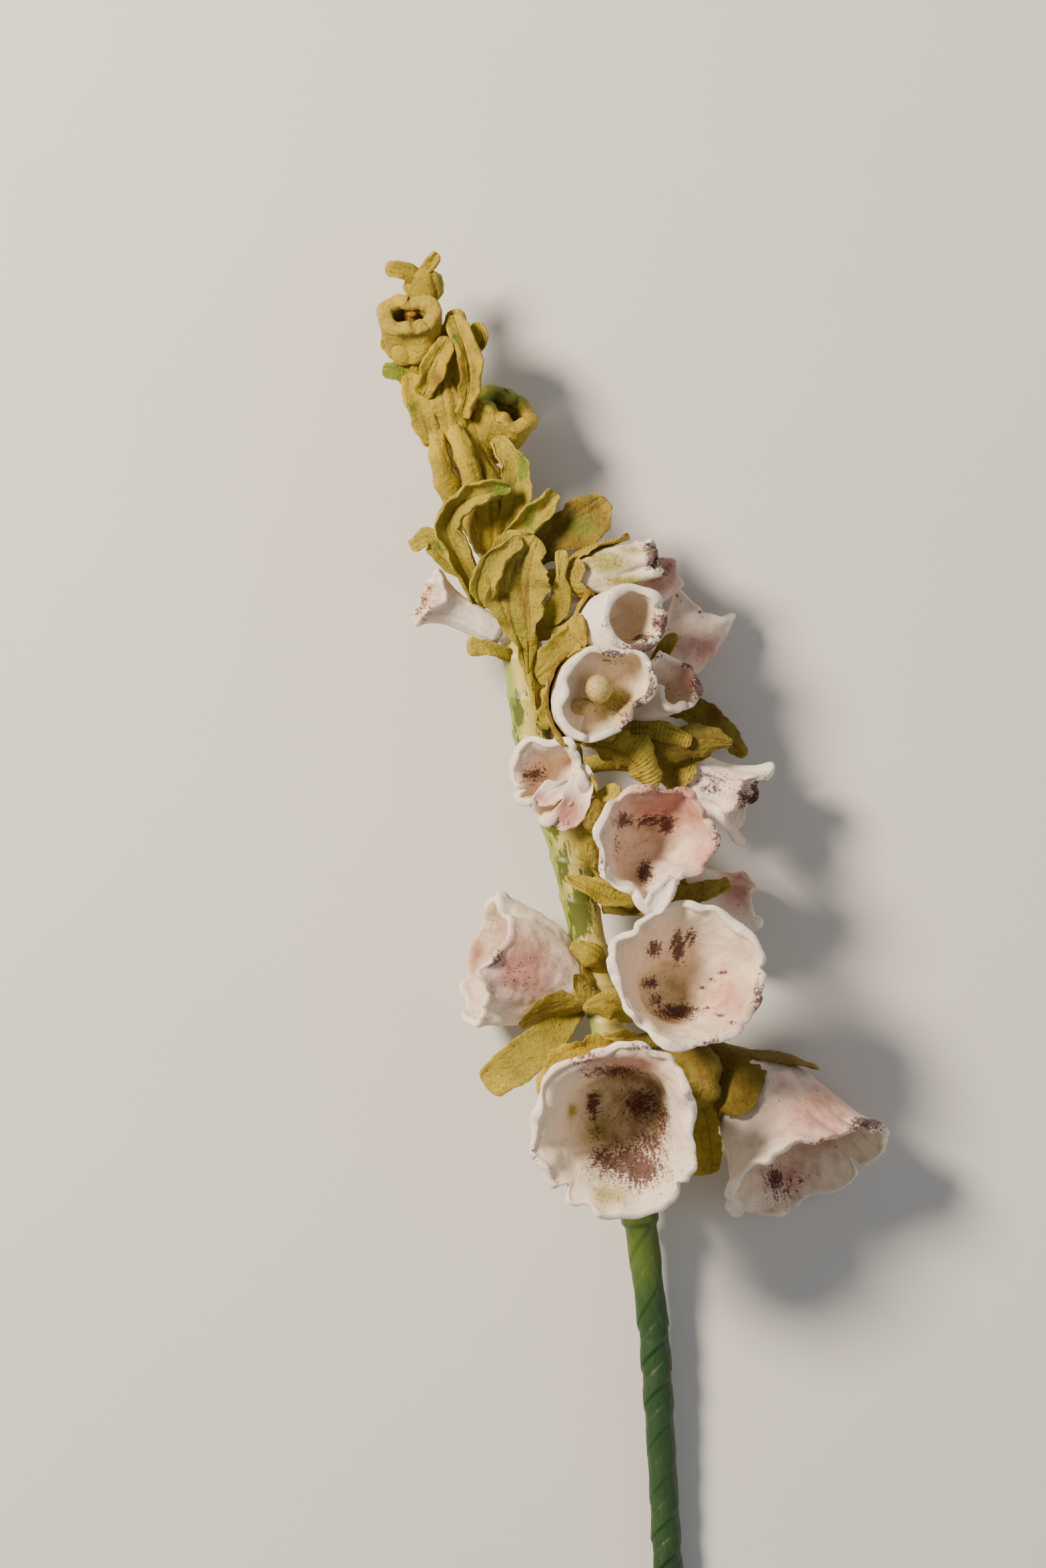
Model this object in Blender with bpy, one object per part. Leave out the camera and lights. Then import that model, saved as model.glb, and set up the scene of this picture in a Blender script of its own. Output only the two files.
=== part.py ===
"""A foxglove spike modelled by hand in air-dry paste on a taped wire stem, lying on its back.

The origin is the middle of the footprint, on the surface that the spike lies on. +Y runs along
the stem to the tip and +Z points up. All tables and functions work in millimetres, and a mesh
is brought to metres when it is made. Each bell, calyx, bract and bud is a solid of its own, and
a piece that is pressed against its neighbours is trimmed back to a small clearance.
"""

import math

import bmesh
import bpy
from mathutils import Vector
from mathutils.bvhtree import BVHTree

MM = 0.001
CLEARANCE = 0.35        # gap between two pieces that press on each other
WELD = 0.004            # points nearer than this are one point
LEAST_LEFT = 0.5        # a trim that leaves less of a piece than this has gone wrong
BELL_WALL = 1.3         # paste thickness of a petal bell
CALYX_WALL = 1.0        # paste thickness of a calyx cup
CALYX_SLACK = 0.4       # how much looser than the clearance a cup sits round its bell
LEAF_THICKNESS = 1.3    # paste thickness of a bract
EDGE_THINNING = 0.3     # part of that thickness lost at a bract's edges
WIRE_RADIUS = 1.1       # florist wire in the stem
BORE_RADIUS = 1.45      # hole that the wire runs in
WIRE_TOP = 137.0        # the wire ends inside the paste stem, at this height along Y
TAPE_TOP = -51.5        # where the tape ends and the bare paste stem starts, along Y
BELL_STALK = 1.7        # radius of the stalk of a bell that has no calyx
CALYX_STALK = 1.9       # radius of the stalk under a calyx
SEGMENTS = 15           # sides of a bell and of its calyx, three to a sepal
BEND_LEAD = 0.55        # how far before the mouth a bell's axis bends, as a part of its length
STALK_LEAD = 0.45       # the same for a stalk, before the bell's base
SEPAL_MEAN = 0.62       # a sepal's length between its notches and its tip, as parts of the whole
SEPAL_SWING = 0.38
SEPALS = 5
STEM_SEGMENTS = 12
WIRE_SEGMENTS = 8
LEAF_RINGS = 6
TAPE_RINGS = 7
BORE_RINGS = 12
STEM_RINGS = 14
LEAST_RADIUS = 0.3      # a wall is never drawn nearer to its axis than this
OUTER_RINGS = (0.0, 0.14, 0.4, 0.72, 1.0)       # places of the rings along a bell, outside
INNER_RINGS = (1.0, 0.72, 0.4, 0.16)            # and back down the inside
STALK_RINGS = (0.0, 0.45, 0.86)                 # places of the rings along a stalk
LEAF_COLUMNS = (-1.0, -0.55, 0.0, 0.55, 1.0)    # places of the points across a bract

# Stem centre line from the cut end to the tip: x, y, z and the outer radius there.
STEM = (
    (9.2, -153.4, 3.3, 3.1), (7.4, -120.0, 4.8, 3.15), (4.8, -76.0, 7.4, 3.25),
    (1.8, -51.5, 9.4, 3.6), (-1.9, -31.0, 11.4, 3.9), (-5.7, -7.0, 13.5, 3.9),
    (-9.3, 8.0, 14.7, 3.9), (-13.4, 26.0, 15.9, 3.9), (-19.8, 47.0, 16.9, 4.2),
    (-21.9, 60.5, 17.4, 4.5), (-25.0, 80.0, 17.7, 4.6), (-29.2, 94.0, 17.9, 4.4),
    (-34.8, 108.0, 17.9, 4.0), (-39.0, 122.0, 17.7, 3.3), (-42.8, 135.0, 17.5, 2.7),
    (-44.4, 144.0, 17.5, 2.1),
)

# Radius of a bell along its axis, from the base to the rim, as a part of the rim radius.
PROFILES = {
    "flared": (0.22, 0.45, 0.59, 0.67, 0.75, 0.86, 1.0),
    "cup": (0.40, 0.70, 0.86, 0.94, 0.98, 1.0, 1.0),
    "trumpet": (0.34, 0.42, 0.47, 0.52, 0.60, 0.76, 1.0),
    "spindle": (0.45, 0.90, 1.15, 1.25, 1.20, 1.08, 1.0),
}

TURNS = [math.tau * k / SEGMENTS for k in range(SEGMENTS)]
UP = (0.0, 0.0, 1.0)
ALONG = (0.0, 1.0, 0.0)

# name: base, middle of the mouth, way the mouth faces, where angle 0 of the rim lies,
# rim radii at even angles, profile, place on the stem (y) that carries it, calyx length or None
BELLS = {
    "low_front": ((-1.0, -25.0, 19.3), (-4.2, -31.0, 46.5), (-0.13, -0.14, 0.98), ALONG,
                  (18.6, 18.0, 18.0, 18.2, 17.8, 18.2, 18.4, 17.9, 18.0, 19.6), "flared", -23.0, 0.30),
    "low_left": ((-14.0, -0.8, 17.0), (-29.0, 4.2, 16.0), (-0.90, 0.25, 0.36), UP,
                 (13.4, 13.8, 14.2, 14.0, 13.8, 14.2, 14.4, 14.0, 13.6, 13.4), "flared", -3.0, 0.42),
    "low_right": ((21.0, -18.0, 12.0), (36.5, -41.2, 18.5), (0.365, -0.825, 0.43), UP,
                  (17.0, 17.6, 18.4, 18.4, 17.6, 17.2, 17.6, 18.2, 18.0, 17.2), "flared", -14.0, 0.36),
    "mid_front": ((4.5, -5.0, 21.0), (10.6, 2.3, 43.5), (0.09, 0.22, 0.97), ALONG,
                  (15.0, 15.0, 15.8, 15.0, 15.2, 15.8, 16.4, 16.9, 16.6, 15.4), "flared", -8.0, 0.30),
    "mid_back": ((4.0, 21.5, 12.5), (18.5, 14.8, 9.0), (0.80, -0.40, -0.20), UP,
                 (8.6, 9.0, 9.4, 9.0, 8.8, 9.0, 9.4, 9.0, 8.8, 8.6), "flared", 20.0, 0.30),
    "pink_front": ((-5.5, 27.0, 21.5), (4.7, 28.2, 39.5), (0.14, 0.05, 0.99), ALONG,
                   (12.6, 13.3, 12.8, 12.6, 13.2, 13.4, 9.0, 11.4, 13.2, 13.0), "flared", 27.0, 0.40),
    "small_left": ((-16.4, 42.8, 23.5), (-17.8, 41.4, 35.0), (-0.20, -0.05, 0.97), ALONG,
                   (8.9, 9.3, 9.0, 7.4, 7.6, 8.9, 8.2, 7.6, 7.6, 10.6), "flared", 43.5, 0.55),
    "right": ((8.5, 44.0, 17.0), (23.5, 37.3, 19.0), (0.85, -0.42, 0.20), UP,
              (7.6, 8.0, 8.4, 8.0, 7.8, 8.2, 9.0, 8.6, 7.8, 7.6), "flared", 43.0, 0.34),
    "upper_front": ((-13.5, 59.5, 24.0), (-5.8, 59.4, 38.5), (0.12, 0.02, 0.99), ALONG,
                    (9.1, 9.8, 9.8, 9.4, 10.2, 10.5, 8.6, 7.8, 9.3, 10.8), "flared", 60.0, 0.35),
    "upper_right": ((-5.0, 54.5, 15.5), (8.4, 62.6, 28.5), (0.55, 0.50, 0.67), ALONG,
                    (7.0, 6.6, 6.6, 7.0, 7.2, 6.8, 6.6, 7.0, 7.2, 7.0), "flared", 53.0, None),
    "cup": ((-11.5, 73.8, 24.0), (0.2, 75.7, 36.0), (0.30, 0.05, 0.95), ALONG,
            (6.9, 7.0, 6.8, 6.9, 7.0, 6.9, 6.9, 7.0, 6.9, 6.8), "cup", 73.0, 0.35),
    "upper_back": ((6.5, 64.0, 9.5), (14.8, 77.0, 6.6), (0.40, 0.85, -0.25), UP,
                   (6.6, 6.4, 6.2, 6.6, 6.8, 6.4, 6.4, 6.6, 6.6, 6.4), "flared", 62.0, None),
    "closed": ((-14.5, 84.5, 25.5), (4.4, 88.6, 26.5), (0.93, 0.30, 0.20), UP,
               (3.4, 3.5, 3.6, 3.5, 3.4, 3.5, 3.6, 3.5, 3.4, 3.5), "spindle", 84.0, 0.30),
    "top_back": ((-7.0, 81.0, 14.5), (4.6, 86.6, 14.5), (0.75, 0.55, -0.35), UP,
                 (5.6, 5.4, 5.6, 5.8, 5.6, 5.4, 5.6, 5.8, 5.6, 5.4), "flared", 80.0, None),
    "top_left": ((-28.5, 73.0, 22.0), (-43.0, 80.2, 24.5), (-0.88, 0.40, 0.25), UP,
                 (5.0, 5.2, 5.4, 5.2, 5.0, 5.2, 5.4, 5.2, 5.0, 5.2), "trumpet", 72.0, None),
    "bud_cup_top": ((-46.4, 131.0, 22.0), (-46.5, 140.6, 26.0), (-0.05, 0.60, 0.80), ALONG,
                    (4.2, 4.4, 4.7, 4.7, 4.3, 4.1, 4.3, 4.7, 4.7, 4.4), "cup", 129.0, None),
    "bud_cup_right": ((-32.5, 111.0, 16.5), (-25.6, 121.6, 19.5), (0.35, 0.60, 0.60), ALONG,
                      (5.2, 5.2, 4.8, 4.6, 4.8, 5.0, 5.2, 5.2, 5.0, 5.0), "cup", 108.0, None),
}

# name: centre line, half widths along it, half of the arc that the sheet curls through
# (positive lifts the edges to the side it faces), the way it faces, colour
BRACTS = {
    "blade_left": (((-11.0, -5.5, 15.0), (-17.0, -11.5, 19.5), (-24.0, -17.2, 20.5), (-31.0, -22.3, 18.5)),
                   (1.8, 2.4, 3.3, 1.0), 0.5, UP, "mustard"),
    "stem_small": (((-5.5, 1.0, 16.0), (-8.0, 4.5, 20.5), (-13.2, 7.4, 21.0)),
                   (1.6, 2.7, 1.0), 0.6, UP, "mustard"),
    "mid_left": (((1.0, -8.0, 18.0), (-4.0, -5.0, 22.5), (-10.5, -5.8, 23.5)),
                 (2.0, 3.2, 1.0), -0.6, UP, "mustard"),
    "curled_brown": (((7.0, -12.5, 13.0), (13.0, -16.5, 20.0), (14.8, -21.5, 22.5), (12.5, -26.5, 20.5)),
                     (1.8, 3.6, 4.2, 2.0), -0.8, UP, "olive"),
    "yellow_blade": (((9.5, -15.0, 11.5), (14.5, -26.0, 17.0), (15.2, -34.0, 19.0), (16.2, -41.0, 18.5)),
                     (1.8, 2.8, 3.6, 1.2), 0.5, UP, "mustard"),
    "curled_tip": (((1.5, 17.0, 21.0), (-4.5, 18.0, 24.0), (-10.0, 19.8, 25.5), (-14.2, 21.5, 24.0)),
                   (1.4, 2.8, 2.6, 1.5), 0.7, UP, "mustard"),
    "back_olive": (((-6.5, 15.5, 14.0), (4.0, 15.5, 16.0), (13.0, 18.0, 16.0), (20.4, 20.6, 14.0)),
                   (1.6, 2.2, 2.2, 1.2), 0.6, UP, "olive"),
    "right_above": (((-3.5, 47.5, 21.5), (5.0, 48.4, 25.5), (14.0, 50.3, 25.0), (21.0, 49.8, 22.5)),
                    (2.2, 3.2, 3.4, 1.0), -0.6, UP, "olive"),
    "right_back": (((-3.0, 57.0, 9.0), (10.0, 58.0, 6.5), (18.5, 53.0, 7.0), (24.0, 47.0, 7.5)),
                   (1.8, 3.0, 3.0, 1.0), 0.5, UP, "olive"),
    "fold_under": (((-12.0, 52.5, 20.0), (-4.0, 52.0, 24.0), (4.5, 52.2, 26.0), (12.4, 50.0, 27.0)),
                   (1.8, 2.4, 2.4, 1.2), -1.0, UP, "mustard"),
    "left_leaf": (((-19.5, 53.0, 20.0), (-17.0, 57.5, 24.0), (-15.6, 62.0, 25.5), (-15.0, 66.2, 25.0)),
                  (1.6, 2.3, 2.2, 1.2), 0.8, UP, "mustard"),
    "second": (((-21.0, 63.0, 20.5), (-17.0, 67.0, 24.0), (-13.5, 71.0, 25.5), (-12.2, 75.6, 25.5)),
               (1.8, 3.4, 3.2, 1.0), 0.7, UP, "mustard"),
    "club": (((-20.0, 74.0, 21.5), (-15.5, 78.5, 26.0), (-15.2, 84.0, 29.0), (-14.8, 90.0, 29.5)),
             (1.6, 2.6, 1.3, 1.6), 0.8, UP, "mustard"),
    "front_leaf": (((-21.8, 63.5, 22.0), (-23.0, 73.0, 25.5), (-24.8, 82.5, 28.5), (-20.6, 92.4, 29.0)),
                   (1.0, 2.8, 6.4, 3.0), 0.7, UP, "mustard"),
    "right_sheet": (((-24.0, 86.0, 20.5), (-16.5, 92.5, 21.5), (-10.0, 96.5, 22.5), (-5.4, 100.6, 21.0)),
                    (2.0, 4.2, 4.8, 2.0), 0.6, UP, "olive"),
    "rolled": (((-28.0, 88.0, 22.0), (-23.5, 94.0, 24.5), (-19.5, 98.5, 25.5), (-16.0, 102.0, 24.0)),
               (2.4, 3.6, 3.6, 1.6), 1.7, UP, "mustard"),
    "hook": (((-31.0, 78.0, 21.5), (-36.0, 88.0, 25.5), (-38.6, 95.0, 27.0), (-35.9, 99.8, 28.0),
              (-31.4, 102.0, 28.5), (-25.7, 103.4, 28.0)),
             (1.8, 2.6, 2.6, 2.6, 2.6, 1.4), 1.9, UP, "mustard"),
    "left_lobe": (((-30.0, 82.5, 17.5), (-38.5, 88.0, 20.5), (-42.5, 92.6, 22.0), (-46.6, 90.6, 21.5)),
                  (1.6, 2.2, 2.2, 1.4), 0.8, UP, "mustard"),
    "left_club": (((-25.5, 68.0, 20.5), (-30.0, 69.6, 23.5), (-34.8, 70.2, 23.5)),
                  (1.4, 1.5, 1.9), 0.5, UP, "mustard"),
    "right_curved": (((-28.5, 93.0, 21.5), (-23.6, 101.0, 23.5), (-23.4, 108.0, 23.5), (-28.6, 113.6, 23.0)),
                     (1.8, 2.4, 2.4, 1.2), 1.0, UP, "olive"),
    "strip_left": (((-36.0, 97.0, 21.0), (-39.0, 103.0, 22.5), (-40.4, 109.0, 23.0), (-41.0, 116.0, 21.5)),
                   (1.8, 2.2, 2.2, 1.4), 0.9, UP, "golden"),
    "strip_mid": (((-33.5, 99.0, 22.0), (-35.0, 105.0, 24.5), (-37.2, 110.5, 25.0), (-38.8, 115.6, 23.5)),
                  (1.6, 2.0, 2.0, 1.4), 1.0, UP, "golden"),
    "column": (((-29.5, 95.0, 23.3), (-31.5, 103.0, 23.9), (-34.5, 111.0, 23.3), (-36.5, 118.0, 22.1)),
               (4.0, 5.2, 5.2, 3.6), -1.6, UP, "golden"),
    "bud_folded": (((-39.0, 117.0, 20.5), (-39.4, 124.0, 23.5), (-38.0, 132.0, 23.9), (-36.6, 140.8, 21.5)),
                   (5.0, 6.8, 5.2, 2.0), -1.3, UP, "golden"),
    "bud_green_lobe": (((-43.0, 122.5, 19.0), (-47.5, 127.0, 21.5), (-52.6, 128.2, 21.5)),
                       (2.0, 2.6, 1.4), 0.5, UP, "golden"),
    "bud_side_lobe": (((-42.0, 129.0, 17.5), (-48.0, 132.4, 19.0), (-51.8, 136.0, 19.5)),
                      (2.2, 3.2, 2.0), 0.6, UP, "golden"),
    "bud_tip": (((-44.2, 141.0, 18.0), (-44.4, 146.5, 19.5), (-45.2, 149.8, 19.9), (-46.4, 151.8, 19.9)),
                (2.6, 4.2, 4.4, 5.4), -0.7, UP, "golden"),
    "back_mid": (((-14.5, 30.0, 12.5), (-17.0, 36.0, 5.8), (-19.5, 43.0, 1.8), (-21.5, 50.0, 1.2)),
                 (1.6, 3.4, 3.4, 1.2), 0.4, (0.0, 0.0, -1.0), "mustard"),
    "back_top": (((-27.5, 86.0, 13.5), (-31.0, 94.0, 10.0), (-36.0, 104.0, 9.0), (-40.0, 113.0, 10.5)),
                 (2.0, 4.2, 4.0, 1.2), -0.8, (0.0, 0.0, -1.0), "olive"),
}

# name: base colour, roughness, metallic
PAINTS = {
    "petal": ((0.87, 0.83, 0.77), 0.60, 0.0),
    "calyx": ((0.50, 0.42, 0.14), 0.65, 0.0),
    "mustard": ((0.58, 0.46, 0.16), 0.65, 0.0),
    "olive": ((0.36, 0.33, 0.11), 0.65, 0.0),
    "golden": ((0.54, 0.41, 0.17), 0.65, 0.0),
    "pale_stem": ((0.68, 0.66, 0.38), 0.50, 0.0),
    "tape": ((0.05, 0.11, 0.04), 0.55, 0.0),
    "wire": ((0.42, 0.42, 0.40), 0.35, 1.0),
}


def along(values, t):
    """Smooth value at t, from 0 to 1, of a row of evenly spaced numbers or points."""
    spans = len(values) - 1
    place = min(max(t, 0.0), 1.0) * spans
    k = min(int(place), spans - 1)
    f = place - k
    a, b, c, d = (values[min(max(i, 0), spans)] for i in (k - 1, k, k + 1, k + 2))
    return b + (c - a) * (f / 2) + (a * 2 - b * 5 + c * 4 - d) * (f * f / 2) \
        + (b * 3 - a - c * 3 + d) * (f * f * f / 2)


def around(values, angle):
    """Smooth value at an angle of a closed row of numbers spaced evenly round a turn."""
    count = len(values)
    place = angle / math.tau * count
    k = math.floor(place)
    f = place - k
    a, b, c, d = (values[(k + i) % count] for i in (-1, 0, 1, 2))
    return b + (c - a) * (f / 2) + (a * 2 - b * 5 + c * 4 - d) * (f * f / 2) \
        + (b * 3 - a - c * 3 + d) * (f * f * f / 2)


def across(direction, reference):
    """The part of reference that is square to direction, and the third axis, both unit long."""
    first = (reference - direction * reference.dot(direction)).normalized()
    return first, direction.cross(first)


def circle(centre, heading, start, radius, count=SEGMENTS):
    """Ring of points square to a heading, the first of them towards start."""
    first, second = across(heading, Vector(start))
    turns = [math.tau * k / count for k in range(count)]
    return [centre + (first * math.cos(a) + second * math.sin(a)) * radius for a in turns]


def stem_at(y):
    """Centre and outer radius of the stem at a height y, on a smooth curve through the table."""
    last = len(STEM) - 1
    y = min(max(y, STEM[0][1]), STEM[last][1])
    upper = next((i for i, row in enumerate(STEM) if row[1] > y), last)
    rows = [STEM[min(max(i, 0), last)] for i in (upper - 2, upper - 1, upper, upper + 1)]
    f = (y - rows[1][1]) / (rows[2][1] - rows[1][1])
    x, _, z, radius = (
        b + (c - a) * (f / 2) + (2 * a - 5 * b + 4 * c - d) * (f * f / 2)
        + (3 * b - a - 3 * c + d) * (f * f * f / 2)
        for a, b, c, d in zip(*rows)
    )
    return Vector((x, y, z)), radius


def ring_edges(bm, ring):
    """Edges between the vertices of a closed ring, in order."""
    return [bm.edges.get(pair) for pair in zip(ring, ring[1:] + ring[:1])]


def loft(rings, joined=False):
    """Closed solid through rings of points: a circle extruded from ring to ring.

    The two ends are filled, or bridged to each other where the skin is a tube with a bore.
    """
    bm = bmesh.new()
    ring = bmesh.ops.create_circle(bm, segments=len(rings[0]), radius=1.0)["verts"]
    for vertex, point in zip(ring, rings[0]):
        vertex.co = point * MM
    first = ring
    for points in rings[1:]:
        made = set(bmesh.ops.extrude_edge_only(bm, edges=ring_edges(bm, ring))["geom"])
        following = []
        for vertex, point in zip(ring, points):
            copy = next(e.other_vert(vertex) for e in vertex.link_edges if e.other_vert(vertex) in made)
            copy.co = point * MM
            following.append(copy)
        ring = following
    if joined:
        bmesh.ops.bridge_loops(bm, edges=ring_edges(bm, first) + ring_edges(bm, ring))
    else:
        bm.faces.new(first)
        bm.faces.new(ring)
    bmesh.ops.triangulate(bm, faces=bm.faces[:])
    bmesh.ops.recalc_face_normals(bm, faces=bm.faces[:])
    return bm


def paint(name):
    """The plain material of that name, made when it is first asked for."""
    material = bpy.data.materials.get(name)
    if material is None:
        colour, roughness, metallic = PAINTS[name]
        material = bpy.data.materials.new(name)
        material.use_nodes = True
        shader = material.node_tree.nodes["Principled BSDF"]
        shader.inputs["Base Color"].default_value = (*colour, 1.0)
        shader.inputs["Roughness"].default_value = roughness
        shader.inputs["Metallic"].default_value = metallic
    return material


def add_piece(name, bm, colour):
    """A named object with the mesh of bm and one material."""
    mesh = bpy.data.meshes.new(name)
    bm.to_mesh(mesh)
    bm.free()
    mesh.materials.append(paint(colour))
    mesh.shade_smooth()
    piece = bpy.data.objects.new(name, mesh)
    bpy.context.scene.collection.objects.link(piece)
    return piece


class Bell:
    """The bent, flared wall of one bell, as points on its outer side."""

    def __init__(self, base, mouth, facing, start, rim, profile):
        self.base = Vector(base)
        self.mouth = Vector(mouth)
        self.facing = Vector(facing).normalized()
        self.start = Vector(start)
        self.rim = rim
        self.profile = PROFILES[profile]
        self.bend = self.mouth - self.facing * (self.mouth - self.base).length * BEND_LEAD

    def centre(self, t):
        """Point of the axis at t, from the base at 0 to the mouth at 1."""
        return self.base.lerp(self.bend, t).lerp(self.bend.lerp(self.mouth, t), t)

    def heading(self, t):
        """Way the axis runs at t."""
        return (self.bend - self.base).lerp(self.mouth - self.bend, t).normalized()

    def point(self, t, angle, offset=0.0):
        """Point of the wall at t and an angle round the axis, moved out by offset."""
        first, second = across(self.heading(t), self.start)
        radius = max(around(self.rim, angle) * along(self.profile, t) + offset, LEAST_RADIUS)
        return self.centre(t) + (first * math.cos(angle) + second * math.sin(angle)) * radius

    def ring(self, t, offset=0.0):
        """Ring of points at t, moved out from the wall by offset."""
        return [self.point(t, angle, offset) for angle in TURNS]

    def disc(self, distance, radius):
        """Ring of points square to the axis, at a distance before the base."""
        heading = self.heading(0.0)
        return circle(self.base - heading * distance, heading, self.start, radius)


def bell_solid(bell, stalk_root=None):
    """Thick-walled bell, closed at its base, with a stalk to its root where it has no calyx."""
    rings = stalk_rings(bell, stalk_root, BELL_STALK) if stalk_root else []
    rings += [bell.ring(t) for t in OUTER_RINGS]
    rings += [bell.ring(t, -BELL_WALL) for t in INNER_RINGS]
    return loft(rings)


def stalk_rings(bell, root, radius):
    """Rings of a bent stalk from its root in the stem to just short of the bell's base."""
    leave = bell.base - bell.heading(0.0) * (bell.base - root).length * STALK_LEAD
    rings = []
    for t in STALK_RINGS:
        centre = root.lerp(leave, t).lerp(leave.lerp(bell.base, t), t)
        heading = (leave - root).lerp(bell.base - leave, t).normalized()
        rings.append(circle(centre, heading, bell.start, radius))
    return rings


def calyx_solid(bell, root, reach):
    """Cup of five joined sepals round the base of a bell, with the stalk that carries both."""
    gap = CLEARANCE + CALYX_SLACK
    radius = bell.rim[0] * bell.profile[0]

    def cup(level, offset):
        """Ring at a part of each sepal's own length, moved out from the bell by offset."""
        lengths = [reach * (SEPAL_MEAN + SEPAL_SWING * math.cos(SEPALS * angle)) for angle in TURNS]
        return [bell.point(level * length, angle, offset) for length, angle in zip(lengths, TURNS)]

    rings = stalk_rings(bell, root, CALYX_STALK)
    rings.append(bell.disc(CLEARANCE * 2 + CALYX_WALL, radius + CLEARANCE * 2))
    rings += [cup(0.4, gap + CALYX_WALL), cup(1.0, gap + CALYX_WALL * 0.8)]
    rings += [cup(1.0, gap), cup(0.4, gap)]
    rings.append(bell.disc(CLEARANCE * 2, radius + gap))
    return loft(rings)


def leaf_solid(spine, half_widths, curl, facing):
    """Sheet of paste along a bent centre line, curled across, with blunt rounded edges."""
    points = [Vector(p) for p in spine]
    places = [k / (LEAF_RINGS - 1) for k in range(LEAF_RINGS)]
    rings = []
    for t in places:
        centre = along(points, t)
        heading = (along(points, t + 0.02) - along(points, t - 0.02)).normalized()
        normal, side = across(heading, Vector(facing))
        width = along(half_widths, t)
        upper = []
        lower = []
        for u in LEAF_COLUMNS:
            arc = curl * u
            across_it = side * (width * math.sin(arc) / curl)
            middle = centre + across_it + normal * (width * (1 - math.cos(arc)) / curl)
            tilt = normal * math.cos(arc) - side * math.sin(arc)
            half = LEAF_THICKNESS / 2 * (1.0 - EDGE_THINNING * abs(u))
            upper.append(middle + tilt * half)
            lower.append(middle - tilt * half)
        rings.append(upper + lower[::-1])
    return loft(rings)


def stem_seat(y, towards):
    """Point inside the stem's wall at y, on the side that faces another point."""
    centre, radius = stem_at(y)
    return centre + (towards - centre).normalized() * ((radius + BORE_RADIUS) / 2)


def stem_ring(y, radius, count=STEM_SEGMENTS):
    """Ring of points round the stem's centre line at y."""
    heading = (stem_at(y + 1.0)[0] - stem_at(y - 1.0)[0]).normalized()
    return circle(stem_at(y)[0], heading, UP, radius, count)


def heights(start, end, count):
    """Evenly spaced places along the stem, both ends counted."""
    return [start + (end - start) * k / (count - 1) for k in range(count)]


def wire_rod():
    """Bare wire from the cut end to inside the tip."""
    places = heights(STEM[0][1], TAPE_TOP, TAPE_RINGS) + heights(TAPE_TOP, WIRE_TOP, BORE_RINGS)[1:]
    return loft([stem_ring(y, WIRE_RADIUS, WIRE_SEGMENTS) for y in places])


def tape_tube():
    """Paper tape wound round the wire, open at both ends."""
    places = heights(STEM[0][1], TAPE_TOP, TAPE_RINGS)
    outside = [stem_ring(y, stem_at(y)[1]) for y in places]
    inside = [stem_ring(y, BORE_RADIUS) for y in places]
    return loft(outside + inside[::-1], joined=True)


def paste_tube():
    """Paste stem above the tape, bored from below for the wire and closed at the tip."""
    bottom = TAPE_TOP + CLEARANCE
    bore = [stem_ring(y, BORE_RADIUS) for y in heights(WIRE_TOP + CLEARANCE, bottom, BORE_RINGS)]
    outside = [stem_ring(y, stem_at(y)[1]) for y in heights(bottom, STEM[-1][1], STEM_RINGS)]
    return loft(bore + outside)


def inflated(piece, amount):
    """A hidden copy of a piece, swollen by amount, to trim another piece with."""
    mesh = piece.data.copy()
    normals = [v.normal.copy() for v in mesh.vertices]
    for vertex, normal in zip(mesh.vertices, normals):
        vertex.co += normal * (amount * MM)
    cutter = bpy.data.objects.new(piece.name + "_clearance", mesh)
    cutter.hide_render = True
    cutter.display_type = "WIRE"
    bpy.context.scene.collection.objects.link(cutter)
    return cutter


def tree_of(obj):
    """Search tree of an object's faces."""
    bm = bmesh.new()
    bm.from_mesh(obj.data)
    tree = BVHTree.FromBMesh(bm)
    bm.free()
    return tree


def enclosed(faces):
    """Volume that a closed set of triangles encloses."""
    corners = [[v.co for v in face.verts] for face in faces]
    return sum(a.dot(b.cross(c)) for a, b, c in corners) / 6


def bodies_of(bm):
    """The separate closed bodies of a triangle mesh, as lists of faces."""
    unseen = set(bm.faces)
    bodies = []
    while unseen:
        stack = [unseen.pop()]
        body = []
        while stack:
            face = stack.pop()
            body.append(face)
            near = {f for edge in face.edges for f in edge.link_faces if f in unseen}
            unseen -= near
            stack += near
        bodies.append(body)
    return bodies


def main_body(mesh, weld):
    """Keep a trimmed mesh's largest body, welded; return its volume, or 0 if it isn't closed."""
    bm = bmesh.new()
    bm.from_mesh(mesh)
    if weld:
        bmesh.ops.remove_doubles(bm, verts=bm.verts[:], dist=weld * MM)
        bmesh.ops.dissolve_degenerate(bm, edges=bm.edges[:], dist=weld * MM)
    bmesh.ops.triangulate(bm, faces=bm.faces[:])
    bodies = sorted(bodies_of(bm), key=enclosed)
    scrap = [face for body in bodies[:-1] for face in body]
    bmesh.ops.delete(bm, geom=scrap, context="FACES")
    closed = len(bm.faces) > 0 and all(len(edge.link_faces) == 2 for edge in bm.edges)
    volume = enclosed(bm.faces) if closed else 0.0
    bm.to_mesh(mesh)
    bm.free()
    return volume


def difference(piece, cutter, solver):
    """Mesh of a piece less a cutter."""
    cut = piece.modifiers.new("clearance", "BOOLEAN")
    cut.operation = "DIFFERENCE"
    cut.solver = solver
    cut.object = cutter
    seen = piece.evaluated_get(bpy.context.evaluated_depsgraph_get())
    mesh = bpy.data.meshes.new_from_object(seen)
    piece.modifiers.clear()
    return mesh


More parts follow.
